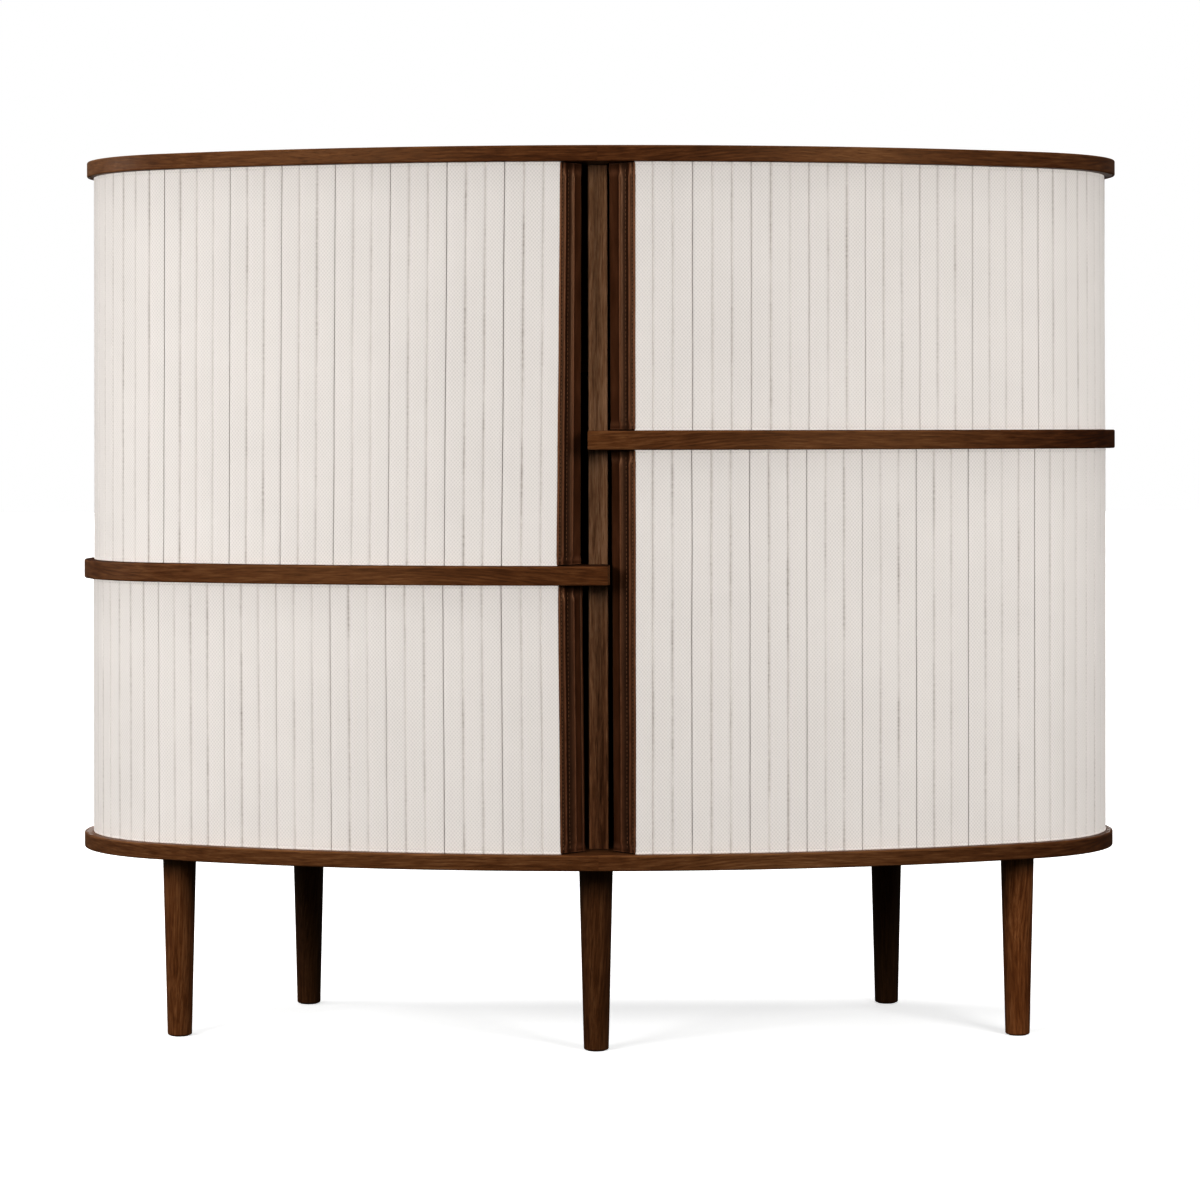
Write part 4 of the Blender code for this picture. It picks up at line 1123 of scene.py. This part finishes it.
def build_lights():
    """The overhead light and the soft lamps, each for its own pieces."""
    overhead = bpy.data.lights.new("overhead", "SUN")
    overhead.energy = OVERHEAD_POWER
    overhead.angle = OVERHEAD_SPREAD
    place_object("overhead", overhead, (0.0, 0.0, 4.0))
    fabric = group_pieces("fabric_pieces", "_fabric_")
    others = group_pieces("other_pieces", "", without="_fabric_")
    curtains = group_pieces("curtain_pieces", "_fabric_", "_pull")
    centre = group_pieces("centre_pieces", "_pull", "centre_divider_oak")
    shell = group_pieces("shell_pieces", "back_shell_oak")
    behind = group_pieces("rear_pieces", "back_shell_oak", "top_board_oak", "base_board_oak", "_rear_leg")
    add_light("centre", (0.15, -2.4, 1.15), 0.6, 0.6, CENTRE_POWER, centre)
    for (name, place, width, height), fabric_power, power in zip(LAMPS, FABRIC_POWERS, LAMP_POWERS):
        add_light(name + "_fabric", (*place[:2], FABRIC_LAMP_HEIGHT), width, height, fabric_power, fabric, curtains)
        add_light(name, place, width, height, power, others)
    add_light("rear", (0.0, 3.2, 1.5), 2.2, 1.4, REAR_POWER, behind)
    for name, side in (("rear_left", -1), ("rear_right", 1)):
        add_light(name, (side * 2.6, 1.5, 1.4), 1.2, 1.4, REAR_SIDE_POWER, shell)


def finish_inside(finishes):
    """Gives the CAD nodes that stay in view their materials, by their names' ends."""
    for name, item in frame["nodes"].items():
        for ending, material in finishes.items():
            if name.endswith(ending):
                item.data.materials.clear()
                item.data.materials.append(material)


def main():
    inner_tones = [[INNER_LIGHTER * value for value in tone] for tone in OAK_TONES]
    wood = oak_material("dark_oak_grain", "uv", OAK_TONES)
    turned_wood = oak_material("dark_oak_turned", "z", OAK_TONES)
    inner_wood = oak_material("inner_oak_lengthwise", "x", inner_tones, 0.5)
    inner_upright = oak_material("inner_oak_upright", "z", inner_tones, 0.5)
    thread = speckled_material(
        "waxed_thread", (1400.0, 1400.0, 2600.0), 1.0, THREAD_TONES, (0.5, 0.7),
        settings={"Specular Tint": LEATHER_TINT},
    )
    metal = speckled_material("zinc_plating", 160.0, 4.0, ZINC_TONES, (0.28, 0.48), settings={"Metallic": 1.0})
    felt = speckled_material("glide_felt", 1800.0, 3.0, FELT_TONES, (0.85, 0.97), (0.5, 0.0004))
    floor = speckled_material(
        "studio_floor", 3.0, 4.0, FLOOR_TONES, (0.55, 0.65),
        settings={"Specular IOR Level": 0.2, "Emission Color": WHITE, "Emission Strength": FLOOR_GLOW},
    )
    build_boards(wood)
    build_divider(oak_material("dark_oak_post", "uv", POST_TONES, sway=POST_SWAY))
    build_lipping(wood)
    build_shell(wood)
    build_legs(turned_wood, felt)
    covers = [fabric_material(), canvas_material()]
    leather = leather_material()
    for name in BAYS:
        curtain = Curtain(name)
        for number, (first, count) in enumerate(group_spans(), 1):
            build_group(curtain, number, first, count, covers)
        build_pull(curtain, leather, thread)
    finish_inside({"_loose_shelf": inner_wood, "_liner": inner_upright, "_bolt": metal})
    build_camera()
    build_floor(floor)
    build_world()
    build_lights()
    settings = bpy.context.scene.view_settings
    settings.view_transform = "Standard"
    settings.look = "None"
    settings.gamma = VIEW_GAMMA


main()
